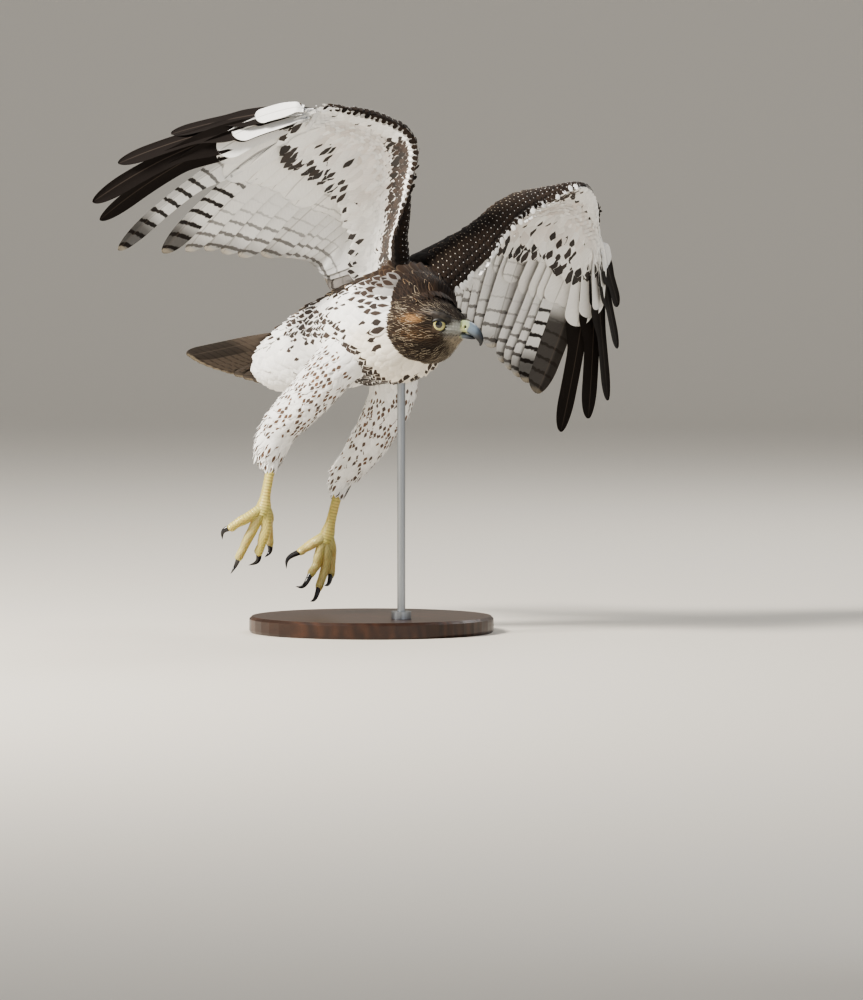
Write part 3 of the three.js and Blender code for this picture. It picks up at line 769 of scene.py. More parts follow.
@dataclass(frozen=True)
class Quill:
    """One long feather: its middle line and directions, and the look of its two faces.

    Widths are to the outward and inward side of the shaft. The finger share is how far the vane
    narrows past its notch, as on the outermost primaries.
    """

    centre: Array
    across: Array
    up: Array
    outer: Array
    inner: Array
    length: float
    upper: Array
    under: Array
    ink: Array
    bars: float
    dark_tip: float
    pale_tip: float = 0.0
    bar_from: float = 0.3
    dark_from: float = 0.5
    outer_dark: float = 0.0


# Stations over a long feather's length, closer together towards its round tip
_round_tip = 1 - np.sin(np.linspace(0.09, 1, 13) * np.pi / 2)
QUILL_SHARES = np.concatenate([np.linspace(0, 0.82, 26), 1 - 0.18 * _round_tip])
NOTCH_FROM, NOTCH_TO = 0.42, 0.62
TIP_LENGTH = 0.16
# What the vane map holds for each millimetre from the tip
VANE_MAP_PER_MM = 0.01


def quill_width(share: Array, root: float, finger: float = 0.0) -> Array:
    """Half width over a feather's length, as a share of its widest.

    It rises as a quarter sine from the root to the middle and closes as an ellipse at the tip.

    Args:
        share: Share of the length from the root.
        root: Width at the root.
        finger: How much narrower the vane is past its notch.

    Returns:
        Widths from 0 to 1.
    """
    rise = root + (1 - root) * np.sin(np.minimum(share / 0.5, 1) * np.pi / 2)
    notch = 1 - finger * ramp(share, NOTCH_FROM, NOTCH_TO)
    past = np.maximum(share - 0.84, 0) / TIP_LENGTH
    tip = np.sqrt(np.clip(1 - past**2, 0.006, 1))
    return rise * notch * tip


@dataclass(frozen=True)
class VaneMaker:
    """Builds long feathers as thin closed shells with a raised shaft."""

    columns: int = 13
    thickness: float = 0.55
    cup: float = 1.3
    shaft: float = 0.8
    shaft_half: float = 1.1

    def add(
        self, surface: Surface, quill: Quill, frame: Attitude, patch: tuple[float, ...]
    ) -> None:
        """Adds one feather as a closed loop of points round the vane at each station.

        The vane's height is a cup that falls with the square of the way across, plus half the
        thickness, plus a shaft that falls off as a bell curve and thins towards the tip.

        Args:
            surface: Mesh that takes the feather.
            quill: Its line and look.
            frame: Frame of its points.
            patch: Its place on the bake map.
        """
        share = QUILL_SHARES
        u = np.sin(np.linspace(-np.pi / 2, np.pi / 2, self.columns))
        reach = np.where(u[None, :] > 0, quill.outer[:, None], quill.inner[:, None])
        offset = reach * u[None, :]
        taper = (1 - 0.75 * share)[:, None]
        shaft = self.shaft * taper * np.exp(-((offset / (self.shaft_half * (0.4 + taper))) ** 2))
        cup = -self.cup * u[None, :] ** 2
        thin = (self.thickness / 2) * (1 - 0.6 * np.abs(u[None, :]))
        faces = []
        for sign in (1, -1):
            height = cup + sign * (thin + shaft * (0.6 if sign > 0 else 1.0))
            faces.append(
                quill.centre[:, None, :]
                + quill.across[:, None, :] * offset[..., None]
                + quill.up[:, None, :] * height[..., None]
            )
        loop = np.concatenate([faces[0], faces[1][:, ::-1]], axis=1)
        u_all = np.concatenate([u, u[::-1]])
        upper = np.concatenate([np.ones(self.columns), np.zeros(self.columns)])
        from_tip = (1 - share)[:, None] * quill.length
        across = (u_all * 0.5 + 0.5)[None, :]
        vane = np.stack(np.broadcast_arrays(across, from_tip * VANE_MAP_PER_MM), -1)
        s_grid = np.broadcast_to(share[:, None], loop.shape[:2])
        tint = blend(quill.under, quill.upper, np.broadcast_to(upper[None, :], s_grid.shape))
        outer_vane = ramp(u_all, 0.0, 0.08)[None, :] * ramp(s_grid, 0.1, 0.3)
        tint = blend(tint, quill.ink, quill.outer_dark * outer_vane)
        dark = quill.dark_tip * ramp(s_grid, quill.dark_from, quill.dark_from + 0.14)
        tint = blend(tint, quill.ink, dark)
        tint = blend(tint, Tone.CREAM, quill.pale_tip * ramp(s_grid, 0.965, 0.985))
        barred = quill.bars * ramp(s_grid, quill.bar_from, quill.bar_from + 0.3)
        ink = with_alpha(rgba(quill.ink), barred, s_grid.shape)
        closed_tube(surface, loop, frame, {"Tint": tint, "Ink": ink}, patch, share, vane)


def bake_cells(count: int) -> list[tuple[float, float, float, float]]:
    """Splits the bake map into rows, one for each long piece, with a small margin."""
    height = 1 / count
    margin = height * 0.06
    return [(0.005, k * height + margin, 0.995, (k + 1) * height - margin) for k in range(count)]


class Shader:
    """A material's node tree, with one function that adds a node."""

    def __init__(self, name: str) -> None:
        """Starts a material with only its output and surface shader."""
        self.material = bpy.data.materials.new(name)
        self.material.use_nodes = True
        self.tree = self.material.node_tree
        self.tree.nodes.clear()
        self.output = self.tree.nodes.new("ShaderNodeOutputMaterial")
        self.surface = self.tree.nodes.new("ShaderNodeBsdfPrincipled")
        self.tree.links.new(self.surface.outputs["BSDF"], self.output.inputs["Surface"])

    def add(self, kind: str, inputs: dict | None = None, **settings: object) -> bpy.types.Node:
        """Adds a node.

        Args:
            kind: Node type without its ShaderNode prefix.
            inputs: Values, or sockets to link, by input name or number.
            settings: The node's own properties.

        Returns:
            The node.
        """
        node = self.tree.nodes.new("ShaderNode" + kind)
        for label, value in settings.items():
            setattr(node, label, value)
        for label, value in (inputs or {}).items():
            self.set(node.inputs[label], value)
        return node

    def set(self, socket: Socket, value: object) -> None:
        """Links a socket, or sets its value."""
        if isinstance(value, Socket):
            self.tree.links.new(value, socket)
        elif isinstance(value, (Tone, Array)):
            socket.default_value = [float(v) for v in rgba(value)]
        else:
            socket.default_value = value

    def math(self, operation: str, *values: object) -> Socket:
        """Result of one arithmetic step on numbers or sockets."""
        return self.add("Math", dict(enumerate(values)), operation=operation).outputs[0]

    def times(self, first: object, second: object) -> Socket:
        """Product of two numbers or sockets."""
        return self.math("MULTIPLY", first, second)

    def place(self) -> Socket:
        """Place on the object, in metres."""
        return self.add("TexCoord").outputs["Object"]

    def painted(self, name: str) -> bpy.types.NodeOutputs:
        """Colour and alpha painted on the mesh under a name."""
        return self.add("Attribute", attribute_name=name).outputs

    def vane(self) -> tuple[Socket, Socket, Socket]:
        """Way across the vane from -1 to 1, distance from the shaft, and way along it."""
        parts = self.add("SeparateXYZ", {0: self.add("UVMap", uv_map="Vane").outputs[0]}).outputs
        across = self.math("MULTIPLY_ADD", parts[0], 2.0, -1.0)
        return across, self.math("ABSOLUTE", across), parts[1]

    def noise(
        self, place: object, scale: float, detail: float, roughness: float = 0.5
    ) -> Socket:
        """Noise of a scale in waves to the unit, from 0 to 1."""
        inputs = {"Vector": place, "Scale": scale, "Detail": detail, "Roughness": roughness}
        return self.add("TexNoise", inputs).outputs["Fac"]

    def stretched(self, place: object, scale: tuple[float, float, float]) -> Socket:
        """A place with its axes scaled."""
        return self.add("Mapping", {"Vector": place, "Scale": scale}).outputs[0]

    def shaded(self, colour: object, shade: object) -> Socket:
        """A colour made lighter or darker by a factor."""
        return self.add("VectorMath", {0: colour, "Scale": shade}, operation="SCALE").outputs[0]

    def step(self, value: object, low: object, high: object) -> Socket:
        """Smooth step of a value from low to high."""
        inputs = {"Value": value, "From Min": low, "From Max": high}
        return self.add("MapRange", inputs, interpolation_type="SMOOTHSTEP").outputs[0]

    def mix(self, factor: object, first: object, second: object) -> Socket:
        """Mix of two colours."""
        node = self.add("Mix", {"Factor": factor}, data_type="RGBA")
        self.set(node.inputs[6], first)
        self.set(node.inputs[7], second)
        return node.outputs[2]

    def finish(self, **inputs: object) -> Material:
        """Sets the surface shader's inputs, named with underscores for spaces.

        Returns:
            The material.
        """
        for label, value in inputs.items():
            self.set(self.surface.inputs[label.replace("_", " ")], value)
        return self.material


@dataclass(frozen=True)
class PlumageFinish:
    """Feather vane, keratin barbs zipped together: matt, with fine slanting lines to its edges."""

    name: str
    barb_mm: float = 0.9
    barb_slant: float = 1.1
    barb_stretch: float = 0.12
    bump: float = 0.25
    roughness: float = 0.78

    def barbs(self, shader: Shader, across: object, along: object) -> Socket:
        """Height of the barbs: a noise drawn out along lines that slant from the shaft."""
        slant = shader.times(shader.math("ABSOLUTE", across), self.barb_slant)
        lines = shader.math("ADD", along, slant)
        drawn_out = shader.times(across, self.barb_stretch)
        place = shader.add("CombineXYZ", {"X": lines, "Y": drawn_out}).outputs[0]
        return shader.noise(place, 1 / self.barb_mm, 2.0, 0.6)

    def surface(
        self, shader: Shader, colour: object, barbs: object, distance_mm: float
    ) -> Material:
        """Links a colour and a barb height to the shader."""
        inputs = {"Height": barbs, "Strength": self.bump, "Distance": distance_mm * MM}
        bump = shader.add("Bump", inputs)
        return shader.finish(
            Base_Color=colour,
            Roughness=self.roughness,
            Normal=bump.outputs[0],
            Sheen_Weight=0.06,
            Sheen_Roughness=0.45,
            Specular_IOR_Level=0.2,
        )


@dataclass(frozen=True)
class DropPlumage(PlumageFinish):
    """Small body feathers, each with a dark drop along its shaft and a pale or dark margin."""

    vane_mm: float = 20.0
    barb_height_mm: float = 0.35

    def make(self) -> Material:
        """Mixes the vane's tint with its drop and its margin.

        The drop is where the distance from the shaft is under its half width times the sine of the
        way along it. The margin is a rim near the sides and the tip.
        """
        shader = Shader(self.name)
        across, away, down = shader.vane()
        drop = shader.add("SeparateColor", {0: shader.painted("Drop")[0]}).outputs
        reach = {"Value": down, "From Min": drop[1], "From Max": drop[2]}
        way = shader.add("MapRange", reach).outputs[0]
        width = shader.times(drop[0], shader.math("SINE", shader.times(way, math.pi)))
        noise = shader.noise(shader.place(), 420.0, 2.0)
        ragged = shader.math("MULTIPLY_ADD", noise, 0.3, -0.15)
        depth = shader.math("SUBTRACT", width, away)
        depth = shader.math("ADD", depth, shader.times(ragged, width))
        inside = shader.step(depth, -0.03, 0.09)
        ink = shader.painted("Ink")
        inked = shader.times(inside, ink["Alpha"])
        edge = shader.painted("Edge")
        rim = shader.math("MAXIMUM", shader.step(away, 0.62, 0.92), shader.step(down, 0.84, 0.95))
        rimmed = shader.times(rim, edge["Alpha"])
        half_vane = shader.times(across, self.vane_mm * 0.3)
        barbs = self.barbs(shader, half_vane, shader.times(down, self.vane_mm))
        tint = shader.painted("Tint")[0]
        colour = shader.mix(inked, shader.mix(rimmed, tint, edge[0]), ink[0])
        colour = shader.shaded(colour, shader.math("MULTIPLY_ADD", barbs, 0.36, 0.82))
        return self.surface(shader, colour, barbs, self.barb_height_mm)


@dataclass(frozen=True)
class BarredPlumage(PlumageFinish):
    """Long feathers of wings and tail, with dark bars a set distance apart from the tip."""

    bar_mm: float = 15.0
    bar_share: float = 0.3
    skew_mm: float = 3.5
    wander_mm: float = 5.0
    half_vane_mm: float = 18.0
    blur: float = 0.04
    barb_height_mm: float = 0.3

    def make(self) -> Material:
        """Mixes the vane's tint with its bars, which slant and waver at equal steps from the tip.

        A bar's half width is a share of the step that grows with the ink's strength, so that strong
        bars are wide and faint ones are narrow.
        """
        shader = Shader(self.name)
        across, away, down = shader.vane()
        from_tip = shader.times(down, 1 / VANE_MAP_PER_MM)
        noise = shader.noise(shader.place(), 260.0, 2.0)
        wander = shader.math("MULTIPLY_ADD", noise, self.wander_mm, -self.wander_mm / 2)
        skew = shader.math("MULTIPLY_ADD", across, self.skew_mm, wander)
        steps = shader.math("DIVIDE", shader.math("ADD", from_tip, skew), self.bar_mm)
        phase = shader.math("FRACT", steps)
        centred = shader.math("ABSOLUTE", shader.math("SUBTRACT", phase, 0.5))
        ink = shader.painted("Ink")
        widest, narrowest = 0.45 * self.bar_share, 0.16 * self.bar_share
        half = shader.math("MULTIPLY_ADD", ink["Alpha"], widest, narrowest)
        outer = shader.math("ADD", half, self.blur)
        bar = shader.step(centred, outer, shader.math("SUBTRACT", half, self.blur))
        tint = shader.painted("Tint")[0]
        colour = shader.mix(shader.times(bar, ink["Alpha"]), tint, ink[0])
        barbs = self.barbs(shader, shader.times(across, self.half_vane_mm), from_tip)
        shaft = shader.step(away, 0.07, 0.03)
        colour = shader.mix(shader.times(shaft, 0.35), colour, Tone.GREY_BROWN)
        colour = shader.shaded(colour, shader.math("MULTIPLY_ADD", barbs, 0.3, 0.85))
        return self.surface(shader, colour, barbs, self.barb_height_mm)


@dataclass(frozen=True)
class PaintedFinish:
    """Horn, skin or down whose colour is painted on the mesh by formula, with a fine grain."""

    name: str
    roughness: float
    grain_mm: float
    grain: float
    bump_mm: float = 0.1
    coat: float = 0.0
    specular: float = 0.5
    subsurface: float = 0.0

    def make(self) -> Material:
        """Multiplies the painted tint by a noise and raises the same noise as a bump."""
        shader = Shader(self.name)
        tint = shader.painted("Tint")[0]
        noise = shader.noise(shader.place(), 1 / (self.grain_mm * MM), 3.0)
        colour = shader.shaded(
            tint, shader.math("MULTIPLY_ADD", noise, self.grain, 1 - self.grain / 2)
        )
        bump = shader.add("Bump", {"Height": noise, "Strength": 0.6, "Distance": self.bump_mm * MM})
        return shader.finish(
            Base_Color=colour,
            Roughness=self.roughness,
            Normal=bump.outputs[0],
            Coat_Weight=self.coat,
            Coat_Roughness=0.05,
            Specular_IOR_Level=self.specular,
            Subsurface_Weight=self.subsurface,
        )


EYE_PLACE = (15, 19.2, 3.5)
EYE_RADIUS = 10.2
IRIS_LOOKS = (0.42, 1.0, 0.02)
# Ridge of the brow: x, y, z and radius in the head's frame
BROW = (
    (-4, 25.5, 14, 4.2), (8, 26.6, 14.4, 5.4), (20, 24.2, 12.8, 5.4), (29, 18.4, 9.4, 4.0),
    (35, 12.5, 6.0, 2.4),
)

TRUNK_FORM = Rings(TRUNK)
NECK_FORM = Rings(NECK, RingKind.NECK)
HEAD_FORM = Rings(HEAD_STATIONS)
THIGH_FORMS = {side: Rings(keys, RingKind.LIMB) for side, keys in THIGHS.items()}


@dataclass
class Skin:
    """The flesh under the coat: every round form joined into one closed surface."""

    voxel_mm: float = 3.0
    inset_mm: float = 1.2
    own_normal: float = 1.4
    darkened: float = 0.85

    def forms(self) -> list[tuple[Array, Attitude]]:
        """Rings of each round form, with its frame."""
        parts = [
            (TRUNK_FORM.grid(48, 48), BODY),
            (NECK_FORM.grid(14, 40), BODY),
            (HEAD_FORM.grid(36, 40), HEAD),
        ]
        parts += [(form.grid(30, 28), BODY) for form in THIGH_FORMS.values()]
        for side in (1, -1):
            keys = [(k / 4, [x, side * y, z, r, r]) for k, (x, y, z, r) in enumerate(BROW)]
            parts.append((Rings(keys, RingKind.LIMB).grid(20, 16), HEAD))
        for wing in WINGS.values():
            parts.append((wing.grid(60, 36), BODY))
        return parts

    def build(self) -> None:
        """Joins the forms by a voxel remesh, smooths them and keeps trees to look places up in."""
        surface = Surface()
        for rings, attitude in self.forms():
            closed_tube(surface, rings, attitude)
        raw = surface.make("skin_raw", bpy.data.materials.new("flesh"), "pale_mottled_plumage")
        remesh = raw.modifiers.new("join", "REMESH")
        remesh.mode = "VOXEL"
        remesh.voxel_size = self.voxel_mm * MM
        smooth = raw.modifiers.new("smooth", "SMOOTH")
        smooth.iterations = 5
        smooth.factor = 0.5
        graph = bpy.context.evaluated_depsgraph_get()
        joined = bpy.data.meshes.new_from_object(raw.evaluated_get(graph))
        bpy.data.objects.remove(raw)
        points = np.empty(len(joined.vertices) * 3, np.float32)
        joined.vertices.foreach_get("co", points)
        normals = np.empty(len(joined.vertices) * 3, np.float32)
        joined.vertices.foreach_get("normal", normals)
        self.points, self.normals = points.reshape(-1, 3), normals.reshape(-1, 3)
        self.tree = BVHTree.FromPolygons(
            [Vector(p) for p in self.points], [tuple(p.vertices) for p in joined.polygons]
        )
        self.mesh = joined
        self.smooth_tree = KDTree(len(self.points))
        for k, p in enumerate(self.points):
            self.smooth_tree.insert(p, k)
        self.smooth_tree.balance()

    def settle(
        self, roots: Roots, attitude: Attitude, reach_mm: float = 3.4
    ) -> tuple[Roots, Array]:
        """Drops feathers whose roots lie inside another form, and sets the others down on the skin.

        Each takes a normal between its own form's and the joined skin's.

        Args:
            roots: Places in the frame's millimetres.
            attitude: Frame of the roots.
            reach_mm: Farthest that a root may lie from the joined skin.

        Returns:
            The roots that stay, in millimetres in the model's frame, and which they are.
        """
        world = attitude.world(roots.place)
        flow, own = attitude.turn(roots.flow), attitude.turn(roots.normal)
        place, normal, kept = [], [], []
        for point in world:
            hit, _, _, distance = self.tree.find_nearest(point)
            kept.append(hit is not None and distance < reach_mm * MM)
            if kept[-1]:
                _, index, _ = self.smooth_tree.find(hit)
                place.append(tuple(hit))
                normal.append(self.normals[index])
        mask = np.array(kept)
        if not mask.any():
            return roots.keep(mask), mask
        facing = unit(np.array(normal) + self.own_normal * own[mask])
        stay = roots.keep(mask)
        return replace(stay, place=np.array(place) / MM, normal=facing, flow=flow[mask]), mask

    def paint(self, roots: list[Array], tints: list[Array]) -> bpy.types.Object:
        """Colours each point of the skin like the nearest feather's root, a little darker.

        Args:
            roots: World places in millimetres.
            tints: Their colours.

        Returns:
            The finished skin.
        """
        places, colours = np.concatenate(roots), np.concatenate(tints)
        tree = KDTree(len(places))
        for k, p in enumerate(places):
            tree.insert(p * MM, k)
        tree.balance()
        nearest = np.array([tree.find(p)[1] for p in self.points])
        tint = colours[nearest]
        tint[:, :3] *= self.darkened
        mesh = self.mesh
        inner = self.points - self.normals * (self.inset_mm * MM)
        mesh.vertices.foreach_set("co", inner.astype(np.float32).ravel())
        paint = mesh.attributes.new("Tint", "FLOAT_COLOR", "POINT")
        paint.data.foreach_set("color", tint.astype(np.float32).ravel())
        self.unwrap(mesh)
        mesh.polygons.foreach_set("use_smooth", np.ones(len(mesh.polygons), bool))
        mesh.materials.clear()
        mesh.materials.append(PaintedFinish("down_over_skin", 0.9, 1.6, 0.3, 0.3).make())
        mesh.name = "skin"
        skin = bpy.data.objects.new("skin", mesh)
        bpy.context.scene.collection.objects.link(skin)
        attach(skin, ROW_BODY)
        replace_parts(skin, "torso", "neck", "head", "leg_left_thigh", "leg_right_thigh")
        LOG.info("skin: %d faces", len(mesh.polygons))
        return skin

    def unwrap(self, mesh: bpy.types.Mesh) -> None:
        """Lays the bake map out as six views of the skin, each face in the one it faces most."""
        count = len(mesh.loops)
        vertex = np.empty(count, np.int32)
        mesh.loops.foreach_get("vertex_index", vertex)
        total = np.empty(len(mesh.polygons), np.int32)
        mesh.polygons.foreach_get("loop_total", total)
        normal = np.empty(len(mesh.polygons) * 3, np.float32)
        mesh.polygons.foreach_get("normal", normal)
        normal = normal.reshape(-1, 3)
        axis = np.abs(normal).argmax(1)
        view = axis * 2 + (normal[np.arange(len(axis)), axis] > 0)
        view = np.repeat(view, total)
        low, high = self.points.min(0), self.points.max(0)
        share = (self.points[vertex] - low) / (high - low).max()
        drawn = np.array([[1, 2], [0, 2], [0, 1]])[view // 2]
        flat = np.take_along_axis(share, drawn, axis=1)
        cell = np.stack([view % 3 / 3, view // 3 / 2], -1)
        uv = cell + UNWRAP_MARGIN + flat.astype(float) * UNWRAP_SCALE
        layer = mesh.uv_layers.new(name="OFBake")
        layer.uv.foreach_set("vector", uv.astype(np.float32).ravel())


def from_eye(place: Array) -> Array:
    """Distance of places in the head's frame from the nearer eye's middle."""
    x, y, z = place.T
    return np.linalg.norm(np.stack([x, np.abs(y), z], -1) - np.array(EYE_PLACE), axis=1)


def ring_roots(
    form: Rings, spacing: float, row: float, forward: int, first: float, last: float
) -> Roots:
    """Places feathers in staggered rings over a round form.

    Args:
        form: Surface that they grow on.
        spacing: Distance between neighbours in a ring, in millimetres.
        row: Distance between rings.
        forward: 1 where they lie towards higher parameters, -1 towards lower ones.
        first: Share of the form where they begin.
        last: Share where they end.

    Returns:
        Roots with a length and width of 1 that the caller scales.
    """
    start, stop = form.span()
    low, high = start + (stop - start) * first, start + (stop - start) * last
    fine = np.linspace(low, high, 200)
    travelled = travel(form.at(fine, np.pi / 2))
    rows = max(int(travelled[-1] / row), 2)
    t_rows = np.interp(np.linspace(0, travelled[-1], rows), travelled, fine)
    places, angles, ts = [], [], []
    for k, t in enumerate(t_rows):
        ring = form.at(t, circle(64))
        around = np.linalg.norm(np.diff(ring, axis=0, append=ring[:1]), axis=1).sum()
        n = max(int(around / spacing), 5)
        angle = (np.arange(n) + 0.5 * (k % 2)) / n * 2 * np.pi
        places.append(form.at(t, angle))
        angles.append(angle)
        ts.append(np.full(n, t))
    t, angle = np.concatenate(ts), np.concatenate(angles)
    place = np.concatenate(places)
    step = 0.004 * (high - low)
    flow = unit(form.at(t + step, angle) - form.at(t - step, angle)) * forward
    around = unit(form.at(t, angle + 0.02) - form.at(t, angle - 0.02))
    normal = unit(np.cross(flow, around) * forward)
    middle = form.at(t, angle) * 0.5 + form.at(t, angle + np.pi) * 0.5
    normal *= np.sign(np.sum(normal * (place - middle), -1, keepdims=True) + 1e-9)
    uv = np.stack([(t - start) / (stop - start), (angle / (2 * np.pi)) % 1], -1)
    return Roots(place, normal, flow, uv, np.ones(len(t)), np.ones(len(t)))


# How far a trunk feather's tip is seen behind its root
TIP_BEHIND_ROOT = 14
# Middle height of the flank's line of marks, by place along the trunk
FLANK_X, FLANK_Z = [-120, -58, -5, 21, 40], [16, 4, -12, -36, -56]


@dataclass
class BodyCoat:
    """Contour feathers of trunk, neck, head and thighs."""

    trunk_spacing: float = 7.2
    trunk_row: float = 7.6
    neck_spacing: float = 4.0
    head_spacing: float = 3.1
    thigh_spacing: float = 5.0
    roots: list[Array] = field(default_factory=list)
    tints: list[Array] = field(default_factory=list)

    def trunk_marks(self, place: Array, rng: np.random.Generator) -> Marking:
        """Markings of the trunk by the place of each root.

        The back and the shoulders are dark with pale margins. Bold drops lie along a line down each
        flank, in a band across the belly, in a collar at the foot of the neck, in the crease before
        the wing and on the rump. The breast has few drops, and the vent is plain white.
        """
        x, y, z = place.T
        n = len(x)
        x = x - TIP_BEHIND_ROOT
        high = ramp(z / 46 - 0.12 * np.abs(y) / 50, 0.5, 0.78)
        high = np.where(x < -134, ramp(z / 34, 0.55, 0.9), high)
        high = (rng.random(n) < high).astype(float)
        marks = Marking.plain(n, Tone.WHITE)
        breast = ramp(x, 20, 45) * ramp(z, -12, -30)
        pale = blend(Tone.WHITE, Tone.CREAM, 0.5 * breast)
        dark = blend(Tone.BROWN, Tone.SOOT, rng.random(n) * 0.6)
        marks.tint = blend(pale, dark, high)
        marks.tip_tint = blend(pale, dark, high)
        shoulder = ramp(x, 30, 72) * ramp(z, 4, 22)
        marks.tint = blend(marks.tint, Tone.BROWN, shoulder * 0.85)
        marks.tip_tint = blend(marks.tip_tint, Tone.WARM_BROWN, shoulder * 0.7)
        line = np.interp(x, FLANK_X, FLANK_Z)
        flank = hump((z, line, 20)) * ramp(x, 34, 22) * ramp(x, -135, -110)
        front = 44 + 24 * ramp(y, -5, 25)
        belly = ramp(x, -50, -26) * ramp(x, front + 8, front - 8) * ramp(z, -24, -36)
        collar = hump((x, 66, 13)) * ramp(z, -47, -38) * ramp(z, 22, 0)
        rump = ramp(x, -40, -66) * ramp(x, -140, -112) * ramp(z, -6, 6)
        crease = hump((x, 54, 20)) * ramp(z, 6, 18)
        strength = np.max([1.1 * flank, 1.3 * belly, 0.8 * collar, rump, crease], axis=0)
        vent = ramp(x, -95, -120) * ramp(z, 6, -6)
        breast_clear = 1 - ramp(x, front, front + 10) * ramp(z, -42, -50)
        strength = np.clip(strength * (1 - vent) * breast_clear, 0, 1)
        stray = 0.12 * (1 - vent) * (1 - breast)
        chance = rng.random(n) < stray + 0.8 * strength
        marks.ink_share = np.where(chance, 0.97, 0.0) * (1 - high)
        marks.drop_width = 0.26 + 0.2 * strength + 0.3 * rng.random(n) + 0.25 * belly
        marks.drop_start = 0.3 - 0.4 * strength * rng.random(n)
        marks.drop_end = 1.0 + 0.3 * rng.random(n)
        marks.ink = blend(Tone.SOOT, Tone.WARM_BROWN, 0.2 + 0.6 * rng.random(n))
        marks.edge = blend(Tone.BUFF, Tone.CREAM, rng.random(n))
        marks.edge_share = high * (0.08 + 0.5 * (rng.random(n) > 0.88))
        return marks

    def head_marks(self, place: Array, rng: np.random.Generator) -> Marking:
        """Markings of the head by the place of each root in its own frame.

        Crown and nape are dark with pale streaks. A dark ring of painted brow shade lies round the
        top of the eye, and a buff patch lies behind it. The cheek is a little buff, the place
        between eye and bill is grey-white, a dark moustache runs below it, and the throat is paler.
        """
        x, y, z = place.T
        side = np.abs(y)
        n = len(x)
        marks = Marking.plain(n, Tone.BROWN)
        tint = blend(Tone.BROWN, Tone.WARM_BROWN, rng.random(n) * 0.8)
        cheek = hump((x, -2, 15), (z, -8, 6))
        tint = blend(tint, Tone.BUFF, 0.25 * cheek)
        behind = hump((x, -4, 13), (z, 9, 4.5)) * ramp(side, 16, 22)
        tint = blend(tint, Tone.BUFF, 0.85 * behind)
        brow = hump((x, 18, 12), (z, 15, 4)) * ramp(side, 12, 18)
        tint = blend(tint, Tone.SILVER, 0.25 * brow)
        lore = ramp(x, 20, 27) * hump((z, 1, 8)) * ramp(z, 10, 6)
        tint = blend(tint, Tone.LORE, 0.95 * lore)
        moustache = hump((x, 8, 17), (z, -22, 8))
        tint = blend(tint, Tone.SOOT, 0.75 * moustache)
        # Painted shadow of the brow: feathers close round the upper half of the eye go towards soot
        shadow = ramp(from_eye(place), EYE_RADIUS + 6.5, EYE_RADIUS + 3.5) * ramp(z, 0, 5)
        tint = blend(tint, Tone.SOOT, 0.9 * shadow)
        throat = ramp(z, -22, -30) * ramp(x, -6, 8) * ramp(side, 20, 12)
        chin = ramp(z, -6, -12) * ramp(x, 21, 29)
        pale = 0.5 * np.maximum(0.5 * throat, chin)
        tint = blend(tint, Tone.CREAM, pale * (0.3 + 0.7 * rng.random(n)))
        marks.tint = blend(tint, Tone.CREAM, 0.06 * rng.random(n))
        marks.tip_tint = tint
        streak = rng.random(n) < 0.36
        marks.edge_share = np.where(streak, 0.5 * (1 - lore), 0.04)
        marks.ink = blend(Tone.SOOT, Tone.BROWN, rng.random(n) * 0.6)
        marks.ink_share = 0.8 * (1 - np.maximum(lore, 0.5 * chin)) * (1 - 0.5 * behind)
        marks.drop_width = np.full(n, 0.62)
        marks.drop_start = np.full(n, -0.3)
        marks.drop_end = np.full(n, 1.2)
        return marks

    def neck_marks(self, place: Array, rng: np.random.Generator) -> Marking:
        """Markings of the neck: brown above and at the sides, going over to streaked white."""
        z = place[:, 2]
        n = len(z)
        marks = Marking.plain(n, Tone.WHITE)
        brown = blend(Tone.SOOT, Tone.WARM_BROWN, 0.1 + 0.5 * rng.random(n))
        above = ramp(z, -46, -24)
        marks.tint = blend(Tone.WHITE, brown, above)
        marks.tip_tint = marks.tint
        marks.edge = blend(Tone.BUFF, Tone.CREAM, rng.random(n))
        marks.edge_share = above * np.where(rng.random(n) < 0.1, 0.45, 0.02)
        marks.ink_share = 0.8 * (rng.random(n) < 0.8)
        marks.drop_width = 0.35 + 0.25 * above
        return marks

    def thigh_marks(self, place: Array, rng: np.random.Generator) -> Marking:
        """Markings of the thighs: white with small brown arrowheads at the tips."""
        n = len(place)
        marks = Marking.plain(n, Tone.WHITE)
        marks.ink = blend(Tone.WARM_BROWN, Tone.RUST, 0.3 * rng.random(n))
        marks.ink_share = np.where(rng.random(n) < 0.62, 0.95, 0.0)
        marks.drop_width = 0.46 + 0.26 * rng.random(n)
        marks.drop_start = np.full(n, 0.56)
        marks.drop_end = np.full(n, 1.02)
        return marks

    def lay(
        self, skin: Skin, name: str, roots: Roots, marks: Marking, attitude: Attitude,
        feather: ContourFeathers, material: Material, slot: str, seed: int,
        free: bool = False, raised: Array | None = None,
    ) -> None:
        """Sets one zone's feathers down on the skin and makes its piece.

        Args:
            skin: Joined skin.
            name: Piece name.
            roots: Roots in the zone's frame.
            marks: Their colours.
            attitude: The zone's frame.
            feather: Shape of a vane.
            material: Plumage.
            slot: Material slot of the record; not used.
            seed: Seed of the differences between vanes.
            free: True where the feathers lie on longer ones instead of on the skin.
            raised: Height of each root over what it lies on, in millimetres.
        """
        settled, kept = roots.moved(attitude) if free else skin.settle(roots, attitude)
        if raised is not None:
            settled = replace(settled, place=settled.place + settled.normal * raised[kept][:, None])
        picked = marks.keep(kept)
        surface = Surface()
        feather.lay(surface, settled, picked, Attitude(Matrix.Identity(4)), seed)
        surface.make(name, material, slot)
        self.roots.append(settled.place)
        self.tints.append(picked.tint)

